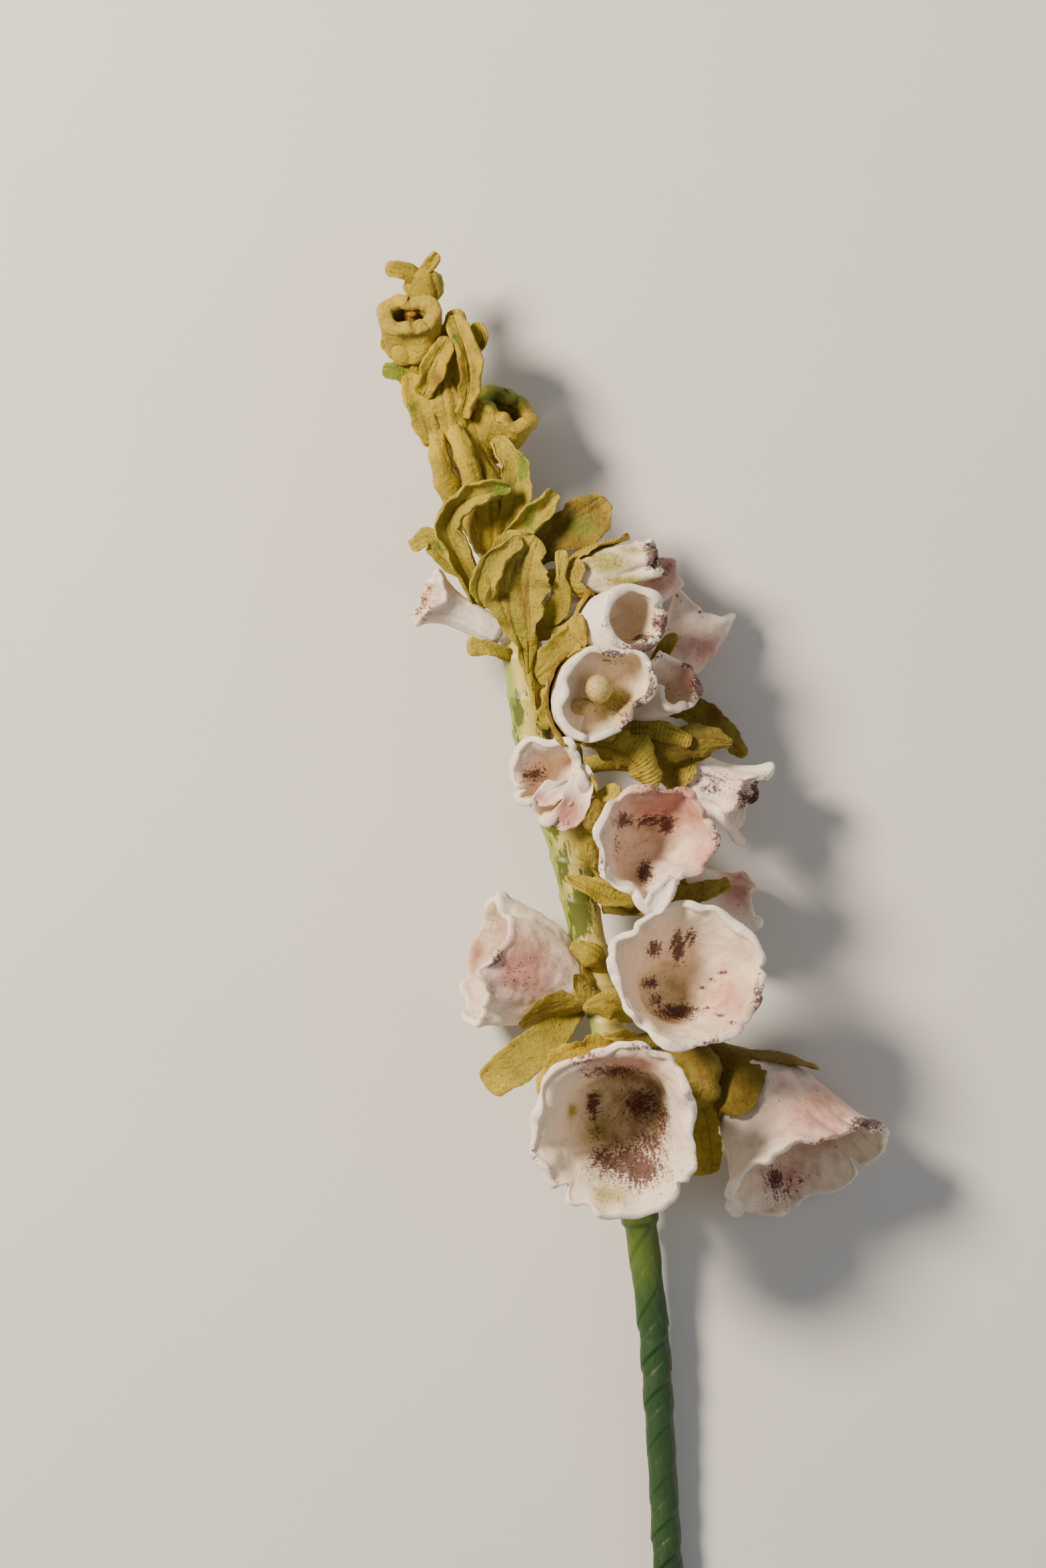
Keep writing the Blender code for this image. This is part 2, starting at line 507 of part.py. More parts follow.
def trim(piece, neighbour):
    """Cut a piece back to the clearance where it presses on a neighbour."""
    cutter = inflated(neighbour, CLEARANCE)
    if tree_of(piece).overlap(tree_of(cutter)):
        wanted = LEAST_LEFT * main_body(piece.data.copy(), 0.0)
        for solver, weld in (("EXACT", WELD), ("MANIFOLD", WELD), ("EXACT", 0.0), ("MANIFOLD", 0.0)):
            mesh = difference(piece, cutter, solver)
            if main_body(mesh, weld) > wanted:
                break
        else:
            raise RuntimeError(piece.name + " could not be trimmed by " + neighbour.name)
        piece.data = mesh
    bpy.data.objects.remove(cutter)


def main():
    """Model every piece, then trim each one clear of the pieces before it."""
    for obj in list(bpy.data.objects):
        bpy.data.objects.remove(obj)

    settled = [
        add_piece("stem_wire", wire_rod(), "wire"),
        add_piece("stem_tape", tape_tube(), "tape"),
        add_piece("stem_paste", paste_tube(), "pale_stem"),
    ]
    pieces = []
    calyces = []
    for name, (base, mouth, facing, start, rim, profile, root_y, reach) in BELLS.items():
        bell = Bell(base, mouth, facing, start, rim, profile)
        root = stem_seat(root_y, bell.base)
        colour = "golden" if name.startswith("bud") else "petal"
        label = name if name.startswith("bud") else "bell_" + name
        pieces.append(add_piece(label, bell_solid(bell, None if reach else root), colour))
        if reach:
            calyces.append(("calyx_" + name, bell, root, reach))
    for name, bell, root, reach in calyces:
        pieces.append(add_piece(name, calyx_solid(bell, root, reach), "calyx"))
    for name, (spine, half_widths, curl, facing, colour) in BRACTS.items():
        label = name if name.startswith("bud") else "bract_" + name
        pieces.append(add_piece(label, leaf_solid(spine, half_widths, curl, facing), colour))

    for piece in pieces:
        for neighbour in settled:
            trim(piece, neighbour)
        settled.append(piece)


main()
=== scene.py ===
"""Looks of a foxglove spike modelled by hand in air-dry paste on a taped wire stem.

The spike lies on its back. All shapes are worked out in millimetres in the frame's own axes:
+Y runs along the stem to the tip and +Z up to the side that is seen. Each bell, calyx, bract and
bud is rolled out as a grid primitive, wrapped into its closed skin, kneaded by Displace modifiers
and painted through attributes that its material reads.
"""

import math
from dataclasses import dataclass, field

import bpy
import numpy as np
from bpy.props import FloatProperty, FloatVectorProperty, PointerProperty
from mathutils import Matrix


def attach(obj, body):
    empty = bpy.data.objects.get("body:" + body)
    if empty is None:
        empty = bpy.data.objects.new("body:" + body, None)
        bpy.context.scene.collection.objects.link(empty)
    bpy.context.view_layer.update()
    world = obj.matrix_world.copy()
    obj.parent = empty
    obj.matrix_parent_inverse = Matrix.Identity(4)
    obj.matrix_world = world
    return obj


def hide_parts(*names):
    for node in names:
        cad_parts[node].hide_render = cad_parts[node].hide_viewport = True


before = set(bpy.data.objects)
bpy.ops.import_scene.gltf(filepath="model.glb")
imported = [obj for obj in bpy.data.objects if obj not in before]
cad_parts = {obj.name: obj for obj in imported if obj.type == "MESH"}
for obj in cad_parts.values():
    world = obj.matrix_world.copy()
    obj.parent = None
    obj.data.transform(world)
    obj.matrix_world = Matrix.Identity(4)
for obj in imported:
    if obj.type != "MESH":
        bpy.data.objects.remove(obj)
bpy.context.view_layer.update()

bl_info = {
    "name": "Paste Foxglove Spike",
    "version": (1, 0, 0),
    "blender": (4, 5, 0),
    "location": "3D View > Sidebar > Foxglove",
    "description": "Models a foxglove spike in air-dry paste around its fixed frame",
    "category": "Add Mesh",
}

MM = 0.001
TURN = math.tau
FLOOR_GAP = 0.1         # nothing hangs nearer to the surface than this

UP = (0.0, 0.0, 1.0)
DOWN = (0.0, 0.0, -1.0)
ALONG = (0.0, 1.0, 0.0)
TAPE_TOP = -51.5        # where the tape ends and the bare paste starts, along Y
BORE = 1.45             # radius of the hole that the wire runs in
WIRE_TOP = 137.0
CUT_END = -153.4        # the two ends of the stem, along Y
STEM_TOP = 144.0
TAPE_LAP = 2.2          # how far the last turn of the tape laps over the paste
COMB_PITCH = 0.85       # from one combed line to the next
FIBRE_STRETCH = 0.16    # fibres run along a sheet, so their pattern is drawn out by this

# Stem centre line from the cut end to the tip: x, y, z and the outer radius there.
STEM = (
    (9.2, -153.4, 3.3, 3.1), (7.4, -120.0, 4.8, 3.15), (4.8, -76.0, 7.4, 3.25),
    (1.8, -51.5, 9.4, 3.6), (-1.9, -31.0, 11.4, 3.9), (-5.7, -7.0, 13.5, 3.9),
    (-9.3, 8.0, 14.7, 3.9), (-13.4, 26.0, 15.9, 3.9), (-19.8, 47.0, 16.9, 4.2),
    (-21.9, 60.5, 17.4, 4.5), (-25.0, 80.0, 17.7, 4.6), (-29.2, 94.0, 17.9, 4.4),
    (-34.8, 108.0, 17.9, 4.0), (-39.0, 122.0, 17.7, 3.3), (-42.8, 135.0, 17.5, 2.7),
    (-44.4, 144.0, 17.5, 2.1),
)

# Radius of a bell along its axis, from the base to the rim, as a part of the rim radius.
PROFILES = {
    "lipped": (0.22, 0.46, 0.58, 0.65, 0.72, 0.84, 1.0),
    "funnel": (0.20, 0.38, 0.52, 0.64, 0.76, 0.88, 1.0),
    "flared": (0.22, 0.45, 0.59, 0.67, 0.75, 0.86, 1.0),
    "cup": (0.40, 0.70, 0.86, 0.94, 0.98, 1.0, 1.0),
    "trumpet": (0.45, 0.52, 0.54, 0.55, 0.58, 0.72, 1.0),
    "dome": (0.16, 0.42, 0.66, 0.80, 0.89, 0.95, 1.0),
    "tube": (0.40, 0.62, 0.68, 0.68, 0.68, 0.78, 1.0),
    "spindle": (0.45, 0.90, 1.15, 1.25, 1.20, 1.08, 1.0),
}


def linear(code):
    """Linear colour of an sRGB hex code."""
    parts = [int(code[i:i + 2], 16) / 255 for i in (1, 3, 5)]
    return tuple(v / 12.92 if v <= 0.04045 else ((v + 0.055) / 1.055) ** 2.4 for v in parts)


def colour(name, description, code):
    """A colour property with its default given as a hex code."""
    return FloatVectorProperty(
        name=name, description=description, subtype="COLOR", size=3, min=0.0, max=1.0,
        default=linear(code))


def length(name, description, millimetres):
    """A length property with its default given in millimetres."""
    return FloatProperty(
        name=name, description=description, unit="LENGTH", min=0.0, default=millimetres * MM)


class FoxgloveSizes(bpy.types.PropertyGroup):
    """Sizes of the pasted pieces."""

    petal: length("Petal wall", "Thickness of a bell's wall", 1.2)
    leaf: length("Bract thickness", "Thickness of a bract in its middle", 1.4)
    lump: length("Kneading", "How far the fingers pushed the paste about", 0.35)
    lead: FloatProperty(
        name="Lens", description="Focal length of the camera", unit="CAMERA", default=164.0)


class FoxgloveColours(bpy.types.PropertyGroup):
    """Colours of the pastes, dusts and paints, and of the painted shade."""

    petal: colour("Petal paste", "White paste of the bells", "#f4e9d8")
    throat: colour("Petal inside", "Creamier paste inside a bell", "#eed9b2")
    # Painted shade: this brown darkens each throat towards its floor and on one side, standing in for the
    # shade inside the bell as well as brown dust.
    deep: colour("Throat shade", "Brown wash at the bottom of a throat", "#79562c")
    blush: colour("Blush", "Dry pink dust on the lips", "#c4826e")
    bruise: colour("Bruise", "Purple-brown dry-brushed paint", "#471a1e")
    moss: colour("Moss", "Yellow-green dust in the throats", "#a39a36")
    calyx: colour("Calyx paste", "Mustard paste of the calyces", "#bda640")
    bract: colour("Bract paste", "Mustard paste of the bracts", "#b3a238")
    # Painted shade: the olive paste is a darker, shaded copy of the mustard paste, put on the bracts and
    # the calyx that lie behind; it also darkens the other leaf pastes in uneven clouds.
    olive: colour("Olive paste", "Darker olive paste of the bracts behind", "#84772a")
    bud: colour("Bud paste", "Golden paste of the unopened buds", "#bfa42c")
    tip: colour("Bract tip", "Paler gold rubbed on the ends of bracts", "#cfb14a")
    stain: colour("Green stain", "Green paint brushed on bracts", "#5d7a24")
    # Partly painted shade: besides the brown in cracks, this umber darkens the grooves and creases of the
    # sheets, for the shade that falls in them.
    umber: colour("Umber", "Brown that sits in cracks and grooves", "#6b4a17")
    stem: colour("Stem paste", "Pale paste of the upper stem", "#cdbb68")
    brush: colour("Stem brush", "Green patches brushed on the stem", "#566216")
    tape: colour("Tape", "Waxed florist tape", "#1d4011")
    floor: colour("Surface", "Pale studio surface", "#dedbd4")


# --- numbers along and round a shape -------------------------------------------------------


def cubic(a, b, c, d, f):
    """Smooth value at f, from b at 0 to c at 1, with a before them and d after."""
    return (b + (c - a) * f / 2 + (2 * a - 5 * b + 4 * c - d) * f ** 2 / 2
            + (3 * b - a - 3 * c + d) * f ** 3 / 2)


def along(values, t):
    """Smooth value at t, from 0 to 1, of a row of evenly spaced numbers or points."""
    values = np.asarray(values, float)
    spans = len(values) - 1
    place = np.clip(np.asarray(t, float), 0.0, 1.0) * spans
    k = np.minimum(place.astype(int), spans - 1)
    f = place - k
    if values.ndim > 1:
        f = f[..., None]
    return cubic(*(values[np.clip(k + i, 0, spans)] for i in (-1, 0, 1, 2)), f)


def around(values, angle):
    """Smooth value at an angle of a closed row of numbers spaced evenly round a turn."""
    values = np.asarray(values, float)
    place = angle / TURN * len(values)
    k = np.floor(place).astype(int)
    return cubic(*(values[(k + i) % len(values)] for i in (-1, 0, 1, 2)), place - k)


def smooth(low, high, x):
    """0 below low, 1 above high, and a soft step between."""
    x = np.clip((x - low) / (high - low), 0.0, 1.0)
    return x * x * (3 - 2 * x)


def bump(x, centre, width):
    """Round hump of height 1."""
    return np.exp(-((x - centre) / width) ** 2)


def turned(angle, centre):
    """Angle from a centre, in degrees, between -180 and 180."""
    return (np.degrees(angle) - centre + 180.0) % 360.0 - 180.0


def ripple(seed, slowest, fastest, angle):
    """Uneven wave, between about -1 and 1, that closes on itself after a turn."""
    rng = np.random.default_rng(seed)
    total = np.zeros_like(angle)
    for count in range(slowest, fastest + 1):
        total = total + rng.uniform(0.4, 1.0) * np.cos(count * angle + rng.uniform(0.0, TURN))
    return total / math.sqrt(fastest - slowest + 1)


def unit(v):
    """Vectors brought to length 1."""
    return v / np.maximum(np.linalg.norm(v, axis=-1, keepdims=True), 1e-9)


def across(direction, reference):
    """The part of reference that is square to direction, and the third axis, both unit long."""
    reference = np.asarray(reference, float)
    first = unit(reference - direction * np.sum(direction * reference, axis=-1, keepdims=True))
    return first, np.cross(direction, first)


def spoke(heading, start, angle):
    """Ways square to a heading, turned by an angle from start."""
    first, second = across(heading, start)
    return first * np.cos(angle)[..., None] + second * np.sin(angle)[..., None]


def stem_at(y):
    """Centre and radius of the stem at heights y, on a smooth curve through the table."""
    table = np.array(STEM)
    last = len(table) - 1
    y = np.clip(y, table[0, 1], table[-1, 1])
    upper = np.clip(np.searchsorted(table[:, 1], y, side="right"), 1, last)
    a, b, c, d = (table[np.clip(upper + i, 0, last)] for i in (-2, -1, 0, 1))
    row = cubic(a, b, c, d, ((y - b[..., 1]) / (c[..., 1] - b[..., 1]))[..., None])
    return np.stack([row[..., 0], y, row[..., 2]], axis=-1), row[..., 3]


def spots(points, marks):
    """How strongly each point is painted by marks (x, y, half width, half length, strength)."""
    painted = np.zeros(points.shape[:-1])
    for x, y, wide, tall, strength in marks:
        near = bump(points[..., 0], x, wide) * bump(points[..., 1], y, tall)
        painted = np.maximum(painted, near * strength)
    return painted


def petal_paints(points, marks):
    """The paints that the white paste reads, each from its own marks."""
    return {label: spots(points, marks.get(label, ())) for label in ("blush", "bruise", "moss", "lip")}


# --- grids laid onto shapes ----------------------------------------------------------------


def whole_turn(columns):
    """Even angles round a turn."""
    return np.arange(columns) / columns * TURN


def pole(point, columns):
    """A row that is one point all round, to close the end of a tube."""
    return np.broadcast_to(point, (1, columns, 3))


def tube_rows(line, radii, angle, start):
    """Rings of points square to a line, with a radius for each ring or each point."""
    heading = unit(np.gradient(line, axis=0))[:, None]
    return line[:, None] + spoke(heading, start, angle) * np.reshape(radii, (len(line), -1, 1))


def skin(name, points, paint):
    """Closed skin: a grid primitive laid onto points[row][column], its seam and ends merged.

    paint holds one array for each attribute that the material reads.
    """
    points = np.concatenate([points, points[:, :1]], axis=1)
    rows, columns = points.shape[:2]
    bpy.ops.object.select_all(action="DESELECT")
    bpy.ops.mesh.primitive_grid_add(x_subdivisions=columns - 1, y_subdivisions=rows - 1, size=1.0)
    piece = bpy.context.object
    piece.name = name
    mesh = piece.data
    mesh.name = name
    points[..., 2] = np.maximum(points[..., 2], FLOOR_GAP)
    mesh.vertices.foreach_set("co", (points * MM).ravel())
    for label, values in paint.items():
        values = np.concatenate([values, values[:, :1]], axis=1)
        kind, key = ("FLOAT_VECTOR", "vector") if values.ndim == 3 else ("FLOAT", "value")
        mesh.attributes.new(label, kind, "POINT").data.foreach_set(key, values.ravel())
    bpy.ops.object.mode_set(mode="EDIT")
    bpy.ops.mesh.select_all(action="SELECT")
    bpy.ops.mesh.remove_doubles(threshold=0.002 * MM)
    bpy.ops.mesh.normals_make_consistent(inside=False)
    bpy.ops.object.mode_set(mode="OBJECT")
    bpy.ops.object.shade_smooth()
    return piece


def knead(piece, *passes):
    """Push the surface about by patterns, each a size in mm and a depth as a part of the lump size."""
    for size, depth in passes:
        pattern = bpy.data.textures.new(f"{piece.name}_{size:g}", "CLOUDS")
        pattern.noise_scale = size * MM
        pattern.noise_depth = 1
        pushed = piece.modifiers.new("kneading", "DISPLACE")
        pushed.texture = pattern
        pushed.texture_coords = "LOCAL"
        pushed.strength = bpy.context.scene.foxglove_sizes.lump * depth
        pushed.mid_level = 0.5
        bpy.context.view_layer.objects.active = piece
        bpy.ops.object.modifier_apply(modifier=pushed.name)
        bpy.data.textures.remove(pattern)
    return piece


def joined(pieces, name):
    """Several skins made one piece."""
    bpy.ops.object.select_all(action="DESELECT")
    for piece in pieces:
        piece.select_set(True)
    bpy.context.view_layer.objects.active = pieces[0]
    if len(pieces) > 1:
        bpy.ops.object.join()
    pieces[0].name = name
    pieces[0].data.name = name
    return pieces[0]


def settle(piece, nodes, paste):
    """Give a finished piece its material, slot and body, and hide the nodes that it stands for."""
    piece.data.materials.clear()
    piece.data.materials.append(made(paste))
    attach(piece, "root")
    if nodes:
        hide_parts(*nodes)


# --- bells -----------------------------------------------------------------------------------


@dataclass
class Bell:
    """One petal bell: a bent, flared wall with an uneven lip. Lengths are in millimetres."""

    base: tuple
    mouth: tuple
    facing: tuple
    start: tuple            # where angle 0 of its lip lies
    rim: tuple              # lip radii at even angles
    profile: str
    seed: int
    ruffle: float           # how far the wall swings in and out towards its lip
    scallop: float          # how far the lip is crimped
    roll: float             # how far the lip turns back
    folds: tuple = ()
    tears: tuple = ()
    marks: dict = field(default_factory=dict)
    stalk: float = None     # place on the stem of a stalk of its own
    detail: float = 1.0     # fineness of its grid
    thick: float = 1.0      # wall as a part of the usual one
    nicks: int = 6          # small worn places in the lip
    beads: float = 0.5      # how unevenly the lip was pinched
    solid: float = 0.1      # how far up the bell is filled

    def __post_init__(self):
        self.base = np.array(self.base)
        self.mouth = np.array(self.mouth)
        self.facing = unit(np.array(self.facing))
        self.profile = PROFILES[self.profile]
        rng = np.random.default_rng(self.seed + 50)
        self.tears += tuple(
            (rng.uniform(0, 360), rng.uniform(1.5, 4.0), rng.uniform(0.3, 1.1)) for _ in range(self.nicks))
        self.size = float(np.mean(self.rim))
        self.waves = (int(np.clip(self.size * 0.55, 4, 9)), int(np.clip(self.size * 1.3, 8, 24)))
        self.length = np.linalg.norm(self.mouth - self.base)
        self.bend = self.mouth - self.facing * self.length * 0.55

    def centre(self, t):
        """Point of the axis at t, from the base at 0 to the mouth at 1."""
        t = np.asarray(t, float)[..., None]
        return self.base * (1 - t) ** 2 + self.bend * 2 * t * (1 - t) + self.mouth * t * t

    def heading(self, t):
        """Way the axis runs at t."""
        t = np.asarray(t, float)[..., None]
        return unit((self.bend - self.base) * (1 - t) + (self.mouth - self.bend) * t)

    def radius(self, t, angle):
        """Radius of the wall without its ruffles."""
        lip = (self.profile[-1] - self.profile[-2]) * (len(self.profile) - 1)
        return around(self.rim, angle) * (along(self.profile, t) + np.maximum(t - 1, 0.0) * lip)

    def wall(self, t, angle):
        """Point of the middle of the wall, ruffled, folded and torn."""
        inset = np.zeros_like(angle)
        for where, wide, deep in self.tears:
            inset = inset + deep / self.length * bump(turned(angle, where), 0.0, wide)
        t = t * (1 - inset)
        opened = smooth(0.4, 1.0, t)
        edge = smooth(0.8, 1.0, t)
        crimped = self.scallop * edge * (0.25 + 1.3 * smooth(-0.5, 0.9, ripple(self.seed + 7, 2, 6, angle)))
        uneven = self.ruffle * opened * ripple(self.seed, 3, 7, angle)
        uneven = uneven + crimped * ripple(self.seed + 1, *self.waves, angle)
        pleats = ripple(self.seed + 8, 9, 17, angle + 0.25 * t) * self.beads
        uneven = uneven + 0.022 * self.size * smooth(0.15, 0.6, t) * pleats
        rise = self.ruffle * 1.2 * opened * ripple(self.seed + 2, 3, 8, angle)
        rise = rise + crimped * 1.2 * ripple(self.seed + 3, *self.waves, angle)
        rise = rise - self.roll * edge ** 2
        for where, wide, deep, lift, low in self.folds:
            near = bump(turned(angle, where), 0.0, wide) * smooth(low, 1.0, t)
            uneven = uneven - deep * near
            rise = rise + lift * near
        reach = np.maximum(self.radius(t, angle) - 0.6 + uneven, 0.4)[..., None]
        heading = self.heading(t)
        return self.centre(t) + spoke(heading, self.start, angle) * reach + heading * rise[..., None]

    def stalk_line(self, root_y, t):
        """Points of a bent stalk from the stem to the bell's base."""
        seat = stem_at(np.array(root_y))[0]
        seat = seat + unit(self.base - seat) * 2.0
        leave = self.base - self.heading(0.0) * np.linalg.norm(self.base - seat) * 0.45
        t = np.asarray(t, float)[..., None]
        return seat * (1 - t) ** 2 + leave * 2 * t * (1 - t) + self.base * t * t


def bell_piece(name, bell, leafy=False):
    """Skin of a bell: up its outside, round the lip and down its inside to a ringed floor.

    leafy paints it for the coloured paste of the buds, not for the white paste of the petals.
    """
    columns = int(190 * bell.detail)
    steps = int(64 * bell.detail)
    angle = whole_turn(columns)
    t = np.linspace(0.0, 1.0, steps) ** 0.9
    grid_t, grid_a = np.meshgrid(t, angle, indexing="ij")
    wall = bell.wall(grid_t, grid_a)
    upward = unit(np.gradient(wall, axis=0))
    sideways = unit(np.roll(wall, -1, axis=1) - np.roll(wall, 1, axis=1))
    outward = unit(np.cross(sideways, upward))
    if np.sum(outward * (wall - bell.centre(grid_t))) < 0:
        outward = -outward
    swollen = 0.3 + 1.2 * bell.beads * ripple(bell.seed + 6, 3, bell.waves[1] // 2, grid_a)
    bead = 1.0 + bump(grid_t, 1.0, 0.05) * np.clip(swollen, -0.15, 1.2)
    bead = bead + 0.28 * bell.beads * ripple(bell.seed + 5, 4, 11, grid_a)
    half = (bpy.context.scene.foxglove_sizes.petal / MM / 2 * bell.thick * bead)[..., None]
    first = int(bell.solid * steps)
    inner = (wall - outward * half)[first:][::-1]
    turns = np.linspace(0.0, math.pi, 7)[1:-1]
    lip = [wall[-1] + (outward[-1] * np.sign(math.cos(a)) * abs(math.cos(a)) ** 0.6
                       + upward[-1] * 0.8 * math.sin(a) ** 0.6) * half[-1] for a in turns]
    low = t[first]
    spread = np.linspace(1.0, 0.0, 12)[1:]
    sunk = bell.centre(low * (0.8 + 0.2 * spread ** 2))[:, None]
    floor = sunk + (inner[-1] - bell.centre(low)) * spread[:, None, None]
    start = [pole(bell.base - bell.heading(0.0) * 0.5, columns)]
    if bell.stalk is not None:
        line = bell.stalk_line(bell.stalk, np.linspace(0.0, 0.9, 12))
        start = [pole(line[0], columns), tube_rows(line, np.full(12, 1.6), angle, bell.start)]
    points = np.concatenate([*start, wall + outward * half, np.array(lip), inner, floor])
    lead = sum(len(rows) for rows in start)
    level = np.concatenate([np.zeros(lead), t, np.ones(len(lip)), t[first:][::-1], low * spread])
    side = np.concatenate([
        np.zeros(lead + steps), np.linspace(0.2, 0.8, len(lip)), np.ones(steps - first + len(spread))])
    level = np.repeat(level[:, None], columns, axis=1)
    side = np.repeat(side[:, None], columns, axis=1)
    turn = np.repeat(angle[None], len(points), axis=0)
    streak = np.stack([
        np.cos(turn) * bell.size, np.sin(turn) * bell.size, level * bell.length * 0.22], axis=-1)
    marks = bell.marks
    paint = petal_paints(points, marks)
    if leafy:
        # Umber laid over the inside of a bud cup, strongest towards its floor, and on the bruise marks.
        coverage = np.maximum(side * 0.9 * (1 - 0.4 * level), paint["bruise"])
        paint = {"tip": level, "stain": paint["moss"], "umber": coverage, "fibre": streak}
        return knead(skin(name, points, paint), (5.0, 3.0), (1.6, 0.8 * bell.detail))
    inside = side * marks.get("throat", 1.0)
    # Painted shade in the throat: "deep" lays brown on the inside, strongest near the floor and round the
    # angle "where", for the shade inside the bell as well as brown dust.
    strength, reach, where = marks.get("deep", (0.25, 0.5, 270))
    deep = inside * (1 - smooth(0.1, reach, level)) * strength
    paint["bruise"] *= np.where(side > 0.5, 1.0, marks.get("out", 0.0))
    paint["moss"] = np.maximum(paint["moss"], inside * (1 - smooth(0.1, 0.55, level)) * 0.6)
    paint["lip"] *= smooth(0.86, 0.97, level)
    paint["deep"] = deep * (0.7 + 0.3 * np.cos(np.radians(turned(turn, where))))
    paint["inside"] = side
    paint["streak"] = streak
    return knead(skin(name, points, paint), (5.0, 1.8 * bell.detail), (1.6, 0.8 * bell.detail))


# --- bracts and sepals ---------------------------------------------------------------------


def cross_section(angle):
    """Place from edge to edge of a sheet, -1 to 1, and how much of its thickness it has there."""
    place = np.cos(angle)
    return place, np.sign(np.sin(angle)) * np.sqrt(np.maximum(1 - place ** 4, 0.0))


def edge_beats(rng, run, pitches, place):
    """For each edge of a sheet, an uneven beat along its run and how near that edge is."""
    for edge in (1.0, -1.0):
        phases = rng.uniform(0, TURN, len(pitches))
        beat = sum(np.sin(run / pitch * TURN + p) for pitch, p in zip(pitches, phases))
        yield beat, np.maximum(place * edge, 0.0)


def half_width(widths, t):
    """Half width of a sheet at t."""
    return np.maximum(along(widths, t), 0.2)


def leaf_points(spine, widths, curl, facing, thickness, columns, steps, seed=1, twist=(0.0, 0.0),
                wave=0.5, creases=5, ribs=0.0, ragged=0.05):
    """Points of a sheet of paste along a bent line, and its paint.

    curl is half of the arc that the sheet curls through across its width. twist turns it about
    its line, in degrees. wave is how far its edges swing.
    """
    rng = np.random.default_rng(seed)
    s = np.linspace(0.0, 1.0, steps)
    t = 0.45 * s + 0.55 * (0.5 - 0.5 * np.cos(math.pi * s))
    grid_t, grid_a = np.meshgrid(t, whole_turn(columns), indexing="ij")
    place, height = cross_section(grid_a)
    line = along(spine, t)
    heading = unit(np.gradient(line, axis=0))
    span = np.linalg.norm(np.diff(line, axis=0), axis=1).sum()
    run = grid_t * span
    normal, side = across(heading, facing)
    turn = np.radians(along(twist, t))[:, None]
    normal, side = normal * np.cos(turn) + side * np.sin(turn), side * np.cos(turn) - normal * np.sin(turn)
    wide = half_width(widths, grid_t)
    cap = np.minimum(grid_t, 1 - grid_t) * span / (0.45 * thickness + 0.6 * wide)
    cap = np.sqrt(1 - (1 - np.minimum(1.0, cap)) ** 2)
    width = wide * cap
    for beat, near in edge_beats(rng, run, (9.0, 4.3, 2.1), place):
        width = width * (1 + ragged * beat * near * 0.6)
    arc = curl * place
    flat = (width / curl)[..., None]
    centre = line[:, None] + side[:, None] * np.sin(arc)[..., None] * flat \
        + normal[:, None] * (1 - np.cos(arc))[..., None] * flat
    tilt = normal[:, None] * np.cos(arc)[..., None] - side[:, None] * np.sin(arc)[..., None]
    swing = np.zeros_like(grid_t)
    for beat, near in edge_beats(rng, run, (14.0, 6.0), place):
        swing = swing + wave * 0.6 * beat * near ** 2
    groove = np.zeros_like(grid_t)
    for _ in range(creases):
        home, drift, phase = rng.uniform(-0.75, 0.75), rng.uniform(0.05, 0.2), rng.uniform(0, TURN)
        low, high = sorted(rng.uniform(-0.2, 1.2, 2))
        near = bump(place, home + drift * np.sin(grid_t * 5 + phase), 0.07)
        near = near * smooth(low - 0.15, low, grid_t) * (1 - smooth(high, high + 0.15, grid_t))
        groove = np.maximum(groove, near)
    comb = 0.5 - 0.5 * np.cos(run / COMB_PITCH * TURN)
    thick = thickness / 2 * cap * (1 - 0.25 * np.abs(place)) * (1 - 0.42 * groove)
    thick = thick * (1 - 0.18 * ribs * comb)
    points = centre + tilt * (swing * cap)[..., None] + tilt * (height * thick)[..., None]
    fibre = np.stack([place * wide, height * 0.3, run * FIBRE_STRETCH], axis=-1)
    return points, {"groove": np.maximum(groove, ribs * comb * 0.6), "tip": grid_t, "fibre": fibre,
                    "comb": ribs * comb}


def leaf_skin(name, spine, widths, curl, facing, stains=(), umber=(), thickness=None, **shape):
    """Closed skin of one sheet of paste, painted and kneaded."""
    thickness = thickness or bpy.context.scene.foxglove_sizes.leaf / MM
    run = np.linalg.norm(np.diff(along(spine, np.linspace(0, 1, 30)), axis=0), axis=1).sum()
    columns = int(np.clip(max(widths) * 4 / 0.3, 36, 96))
    steps = int(np.clip(run / 0.3, 36, 130))
    points, paint = leaf_points(spine, widths, curl, facing, thickness, columns, steps, **shape)
    paint["stain"] = spots(points, stains)
    paint["umber"] = spots(points, umber)
    return knead(skin(name, points, paint), (3.6, 1.2), (1.1, 0.3))


